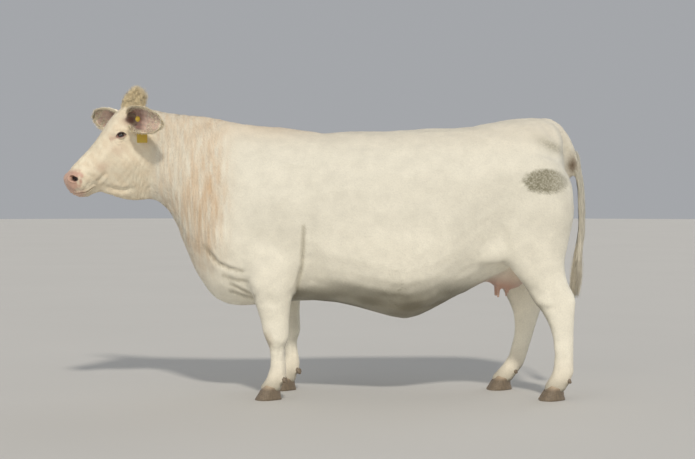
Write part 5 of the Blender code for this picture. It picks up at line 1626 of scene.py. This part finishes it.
class COW_OT_hooves(bpy.types.Operator):
    """Finishes the claws and dewclaws in horn, with growth rings"""

    bl_idname = "cow.hooves"
    bl_label = "Hooves"

    def execute(self, context):
        props = context.scene.cow_feet
        for node in (*CLAWS, *DEWCLAWS):
            small = node in DEWCLAWS
            item = object_of(joined_copy((node,), 0.0), node + "_horn")
            voxel_remesh(item, props.grain * (0.6 if small else 1.0))
            relax(item, 6)
            points, normals = read_points(item), read_normals(item)
            # Growth rings slope a little up towards the heel, and are closer on the dewclaws
            slope = points[:, 2] + 0.20 * points[:, 0]
            spacing = 0.003 if small else 0.0075
            rings = np.sin(slope * 2 * math.pi / spacing + ripple(points, 0.05, 61))
            upright = np.abs(normals[:, 2]) < 0.75
            points = points + normals * (0.00045 * rings * upright)[:, None]
            points[:, 2] = np.maximum(points[:, 2], 0.0)
            write_points(item, points)
            fibres = ripple(points, (0.006, 0.006, 0.05), 62)
            tone = 1 + 0.13 * rings * upright + 0.12 * fibres
            top = smooth_step(points[:, 2], 0.045, 0.070)[:, None] * (0 if small else 1)
            colours = np.array(props.horn) * tone[:, None] * (1 - top) + np.array(linear("#B9A58C")) * top
            put(item, "hide", np.clip(colours, 0, 1))
            smooth(item)
            finish_piece(item, "horn", "grown hoof horn", node)
        return {"FINISHED"}


def curled_paths(root, control, tip, radius, turns, phase, steps, reference):
    """Bent paths that also wind round their line, wider towards the tip."""
    t = np.linspace(0, 1, steps)[None, :, None]
    middle = root[:, None] * (1 - t) ** 2 + control[:, None] * 2 * t * (1 - t) + tip[:, None] * t**2
    run = unit(np.gradient(middle, axis=1))
    side = unit(np.cross(run, np.array(reference, float)))
    up = np.cross(side, run)
    angle = phase[:, None, None] + turns[:, None, None] * 2 * math.pi * t
    return middle + (side * np.cos(angle) + up * np.sin(angle)) * radius[:, None, None] * t**0.6


class COW_OT_long_hair(bpy.types.Operator):
    """Grows the curly tuft of the poll, the long switch of the tail and the fringe above it"""

    bl_idname = "cow.long_hair"
    bl_label = "Poll tuft and switch"

    def execute(self, context):
        props = context.scene.cow_coat
        for made in (self.tuft(props), self.switch(props), self.fringe(props)):
            finish_piece(made, "tuft", "cattle hair")
        return {"FINISHED"}

    def tuft(self, props):
        """Locks that rise from the poll, each of hairs that wind alike, over a dome of tips."""
        hide = bpy.data.objects["hide"]
        draw = np.random.default_rng(71)
        rows = []
        locks, hairs = 104, 19
        for index in range(locks):
            share = (index + 0.5) / locks
            angle = index * GOLDEN
            ahead, aside = math.sqrt(share) * math.cos(angle), math.sqrt(share) * math.sin(angle)
            reach, across = TUFT_REACH + TUFT_RADIUS * ahead, TUFT_RADIUS * aside * 1.1
            top = TUFT_TOP - 0.058 * max(ahead, 0) ** 1.4 - 0.024 * max(-ahead, 0) ** 2 - 0.044 * aside**2
            top -= 0.030 * draw.random() ** 1.5
            phase, spin = draw.uniform(0, 6.3), draw.choice((-1, 1)) * draw.uniform(1.1, 2.4)
            out = np.array((ahead, aside, 0.0))
            curl = np.array((aside, ahead, 0.0)) * 0.018 * (1 if index % 2 else -1) + draw.normal(0, 0.005, 3)
            end = np.array((TUFT_REACH - 0.014 + 0.030 * ahead, across * 0.60, top)) + curl
            tone = draw.uniform(0.86, 1.16) * (0.90 + 0.10 * smooth_step(ahead, -0.8, 0.4))
            for _ in range(hairs):
                off = draw.normal(0, 0.0065, 2)
                start = np.array((reach + off[0], across + off[1], 1.6))
                hit, place, _, _ = hide.ray_cast(Vector(from_head(start)), Vector((0, 0, -1)))
                if not hit:
                    raise RuntimeError("a lock of the poll tuft finds no skin")
                root = to_head(np.array(place)) - np.array((0, 0, 0.003))
                tip = end + np.array((off[0], off[1], 0)) * 0.6 + draw.normal(0, 0.0045, 3)
                tip[2] = min(tip[2], TUFT_TOP + 0.003)
                control = (root + tip) / 2 + out * 0.020 + np.array((0, 0, 0.014)) + draw.normal(0, 0.003, 3)
                rows.append((
                    from_head(root), from_head(control), from_head(tip), phase + draw.normal(0, 0.5),
                    0.0105 * draw.uniform(0.5, 1.3), spin * draw.uniform(0.85, 1.15),
                    tone * draw.uniform(0.93, 1.06),
                ))
        roots, controls, tips, phases, winds, spins, shade = (np.array(column) for column in zip(*rows))
        path = curled_paths(roots, controls, tips, winds, spins, phases, 12, (0.3, 0.9, 0.1))
        count = len(roots)
        half = np.outer(draw.uniform(0.00045, 0.0008, count), np.linspace(1.0, 0.45, 11))
        face = unit((roots + tips) / 2 - from_head((TUFT_REACH, 0, 1.40)))
        colours = np.clip(np.array(props.tuft) * shade[:, None], 0, 1)
        return strand_mesh("poll_tuft", path, face, half, colours, np.zeros(count), unwrap(roots),
                           flat=0.5, own=0.8, root_shade=0.80)

    def switch(self, props):
        """Locks that hang round the tail's end, a fifth of them down to its tip."""
        draw = np.random.default_rng(72)
        rows = []
        locks, hairs = 46, 17
        low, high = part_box("tail_switch")
        top_x = (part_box("tail_lower")[0].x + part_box("tail_lower")[1].x) / 2 - 0.006
        for index in range(locks):
            angle = index * GOLDEN
            height = 0.745 - 0.150 * (index / locks)
            out = np.array((math.cos(angle), math.sin(angle), 0.0))
            x = top_x - 0.05 * (0.72 - height)
            length = (height - SWITCH_END) * (1.0 if index % 5 == 0 else draw.uniform(0.72, 0.98))
            phase, tone = draw.uniform(0, 6.3), draw.uniform(0.80, 1.08)
            bulge = draw.uniform(0.010, 0.019)
            for _ in range(hairs):
                off = draw.normal(0, 0.0032, 3)
                root = np.array((x, 0, height)) + out * 0.008 + off
                control = root + out * bulge + off * 1.6 + np.array((-0.004, 0, -length * 0.5))
                tip = np.array((x - 0.016, 0, height - length)) + out * 0.012 + off * (1.8, 1.8, 4)
                tip[2] = max(tip[2], SWITCH_END - 0.004)
                rows.append((
                    root, control, tip, phase + draw.normal(0, 0.3), draw.uniform(0.002, 0.0055),
                    tone * draw.uniform(0.93, 1.06),
                ))
        roots, controls, tips, phases, winds, shade = (np.array(column) for column in zip(*rows))
        count = len(roots)
        path = curled_paths(roots, controls, tips, winds, np.full(count, 1.3), phases, 11, (0.9, 0.3, 0.1))
        path[..., 0] = np.clip(path[..., 0], low.x - 0.004, high.x + 0.004)
        half = np.outer(draw.uniform(0.0006, 0.0011, count), np.linspace(0.8, 0.45, 10))
        face = unit(controls - roots * (1, 1, 0) - controls * (0, 0, 1) + (1e-4, 0, 0))
        colours = np.clip(np.array(props.switch) * shade[:, None], 0, 1)
        return strand_mesh("tail_hair", path, face, half, colours, np.zeros(count), unwrap(roots),
                           flat=0.5, own=1)

    def fringe(self, props):
        """Hair along the tail's sides and back that hangs lower and longer towards the switch."""
        draw = np.random.default_rng(73)
        points = read_points(bpy.data.objects["hide"])
        points = points[(points[:, 0] > 1.195) & (points[:, 2] > 0.62) & (points[:, 2] < 1.26)]
        # The tail's middle line, read from the hide at 24 heights
        edges = np.linspace(0.64, 1.24, 25)
        levels = (edges[:-1] + edges[1:]) / 2
        slot_of = np.digitize(points[:, 2], edges)
        middles = np.array([points[slot_of == k, 0].mean() for k in range(1, 25)])
        count, thick = 1800, 0.013
        height = 0.70 + 0.50 * draw.random(count) ** 1.15
        angle = draw.uniform(-2.2, 2.2, count)
        out = np.stack((np.cos(angle), np.sin(angle), np.zeros(count)), axis=1)
        root = np.stack((np.interp(height, levels, middles), np.zeros(count), height), axis=1) + out * thick
        length = np.interp(height, (0.70, 0.95, 1.20), (0.150, 0.095, 0.045)) * draw.uniform(0.7, 1.15, count)
        end = height - length
        tip = np.stack((np.interp(end, levels, middles), np.zeros(count), end), axis=1)
        tip = tip + out * (thick + draw.uniform(0.001, 0.008, count))[:, None]
        control = (root + tip) / 2 + out * draw.uniform(0.002, 0.007, count)[:, None]
        tip = tip + draw.normal(0, 0.0025, (count, 3))
        winds, phases = draw.uniform(0.0005, 0.0025, count), draw.uniform(0, 6.3, count)
        path = curled_paths(root, control, tip, winds, np.full(count, 0.8), phases, 7, (0.9, 0.3, 0.1))
        path[..., 0] = np.minimum(path[..., 0], CAD_BOX[1].x + 0.006)
        half = np.outer(draw.uniform(0.0006, 0.0011, count), np.linspace(0.9, 0.5, 6))
        tone = draw.uniform(0.92, 1.07, count)
        low = smooth_step(height, 1.10, 0.80)[:, None]
        cream = np.array(bpy.context.scene.cow_hide.cream)
        colours = (cream * (1 - 0.6 * low) + np.array(props.switch) * 0.6 * low) * tone[:, None]
        colours = np.clip(colours, 0, 1)
        return strand_mesh("tail_fringe", path, out, half, colours, np.zeros(count), unwrap(root), flat=0.4)


# Name, place, angle in degrees, strength and colour of each light: the key from above on her left, as in
# the photo, and weak fills from behind on her right and from low ahead
LIGHTS = (
    ("key", (1.0, -6.4, 6.4), 5, 1.78, "#FFF8EE"),
    ("fill", (5.5, 5.0, 4.0), 40, 0.40, "#E9EFF8"),
    ("low_fill", (-4.5, -6.0, 1.6), 50, 0.66, "#FBF6EC"),
)
WORLD_STRENGTH, FLOOR_RADIUS = 0.50, 40
CAMERA_PLACE, CAMERA_TILT = (0.1032, -7.4999, 1.03), 88.33
SENSOR_WIDTH, FOCAL_PIXELS, PHOTO_WIDTH = 36, 1530, 695  # in millimetres, then in the photo's pixels


class COW_OT_stage(bpy.types.Operator):
    """Lays the studio floor, hangs soft lights and sets the camera"""

    bl_idname = "cow.stage"
    bl_label = "Stage"

    def execute(self, context):
        deselect()
        bpy.ops.mesh.primitive_circle_add(
            vertices=96, radius=FLOOR_RADIUS, fill_type="NGON", location=(0, 0, 0))
        floor = context.active_object
        floor.name = "studio_floor"
        floor.data.materials.append(material("painted studio floor"))
        world = bpy.data.worlds.new("studio")
        world.use_nodes = True
        background = world.node_tree.nodes["Background"]
        background.inputs["Color"].default_value = (*context.scene.cow_stage.sky, 1)
        background.inputs["Strength"].default_value = WORLD_STRENGTH
        context.scene.world = world
        for name, place, softness, strength, colour in LIGHTS:
            deselect()
            bpy.ops.object.light_add(type="SUN", location=place)
            light = context.active_object
            light.name = name
            light.data.angle, light.data.energy = math.radians(softness), strength
            light.data.color = linear(colour)
            aim = Vector((0, 0, 0.8)) - Vector(place)
            light.rotation_euler = aim.to_track_quat("-Z", "Y").to_euler()
        bpy.ops.object.camera_add(location=CAMERA_PLACE, rotation=(math.radians(CAMERA_TILT), 0, 0))
        camera = context.active_object
        camera.data.sensor_width = SENSOR_WIDTH
        camera.data.lens = SENSOR_WIDTH * FOCAL_PIXELS / PHOTO_WIDTH
        camera.data.clip_end = 200
        context.scene.camera = camera
        context.scene.view_settings.view_transform = "Standard"
        return {"FINISHED"}


GROUPS = (("cow_hide", CowHide), ("cow_coat", CowCoat), ("cow_head", CowHead), ("cow_feet", CowFeet),
          ("cow_stage", CowStage))
OPERATORS = (COW_OT_stage, COW_OT_hide, COW_OT_coat, COW_OT_ears, COW_OT_eyes, COW_OT_tag, COW_OT_hooves,
             COW_OT_long_hair)


class COW_PT_panel(bpy.types.Panel):
    """Lists the steps of the model"""

    bl_idname = "COW_PT_panel"
    bl_label = "Charolais Cow"
    bl_space_type = "VIEW_3D"
    bl_region_type = "UI"
    bl_category = "Cow"

    def draw(self, context):
        for operator in OPERATORS:
            self.layout.operator(operator.bl_idname)
        for name, group in GROUPS:
            box = self.layout.box()
            for prop in group.__annotations__:
                box.prop(getattr(context.scene, name), prop)


def register():
    for name, group in GROUPS:
        bpy.utils.register_class(group)
        setattr(bpy.types.Scene, name, bpy.props.PointerProperty(type=group))
    for operator in (*OPERATORS, COW_PT_panel):
        bpy.utils.register_class(operator)


def unregister():
    for operator in (COW_PT_panel, *reversed(OPERATORS)):
        bpy.utils.unregister_class(operator)
    for name, group in reversed(GROUPS):
        delattr(bpy.types.Scene, name)
        bpy.utils.unregister_class(group)


def main():
    register()
    bpy.ops.cow.stage()
    bpy.ops.cow.hide()
    bpy.ops.cow.coat()
    bpy.ops.cow.ears()
    bpy.ops.cow.eyes()
    bpy.ops.cow.tag()
    bpy.ops.cow.hooves()
    bpy.ops.cow.long_hair()


if __name__ == "__main__":
    main()
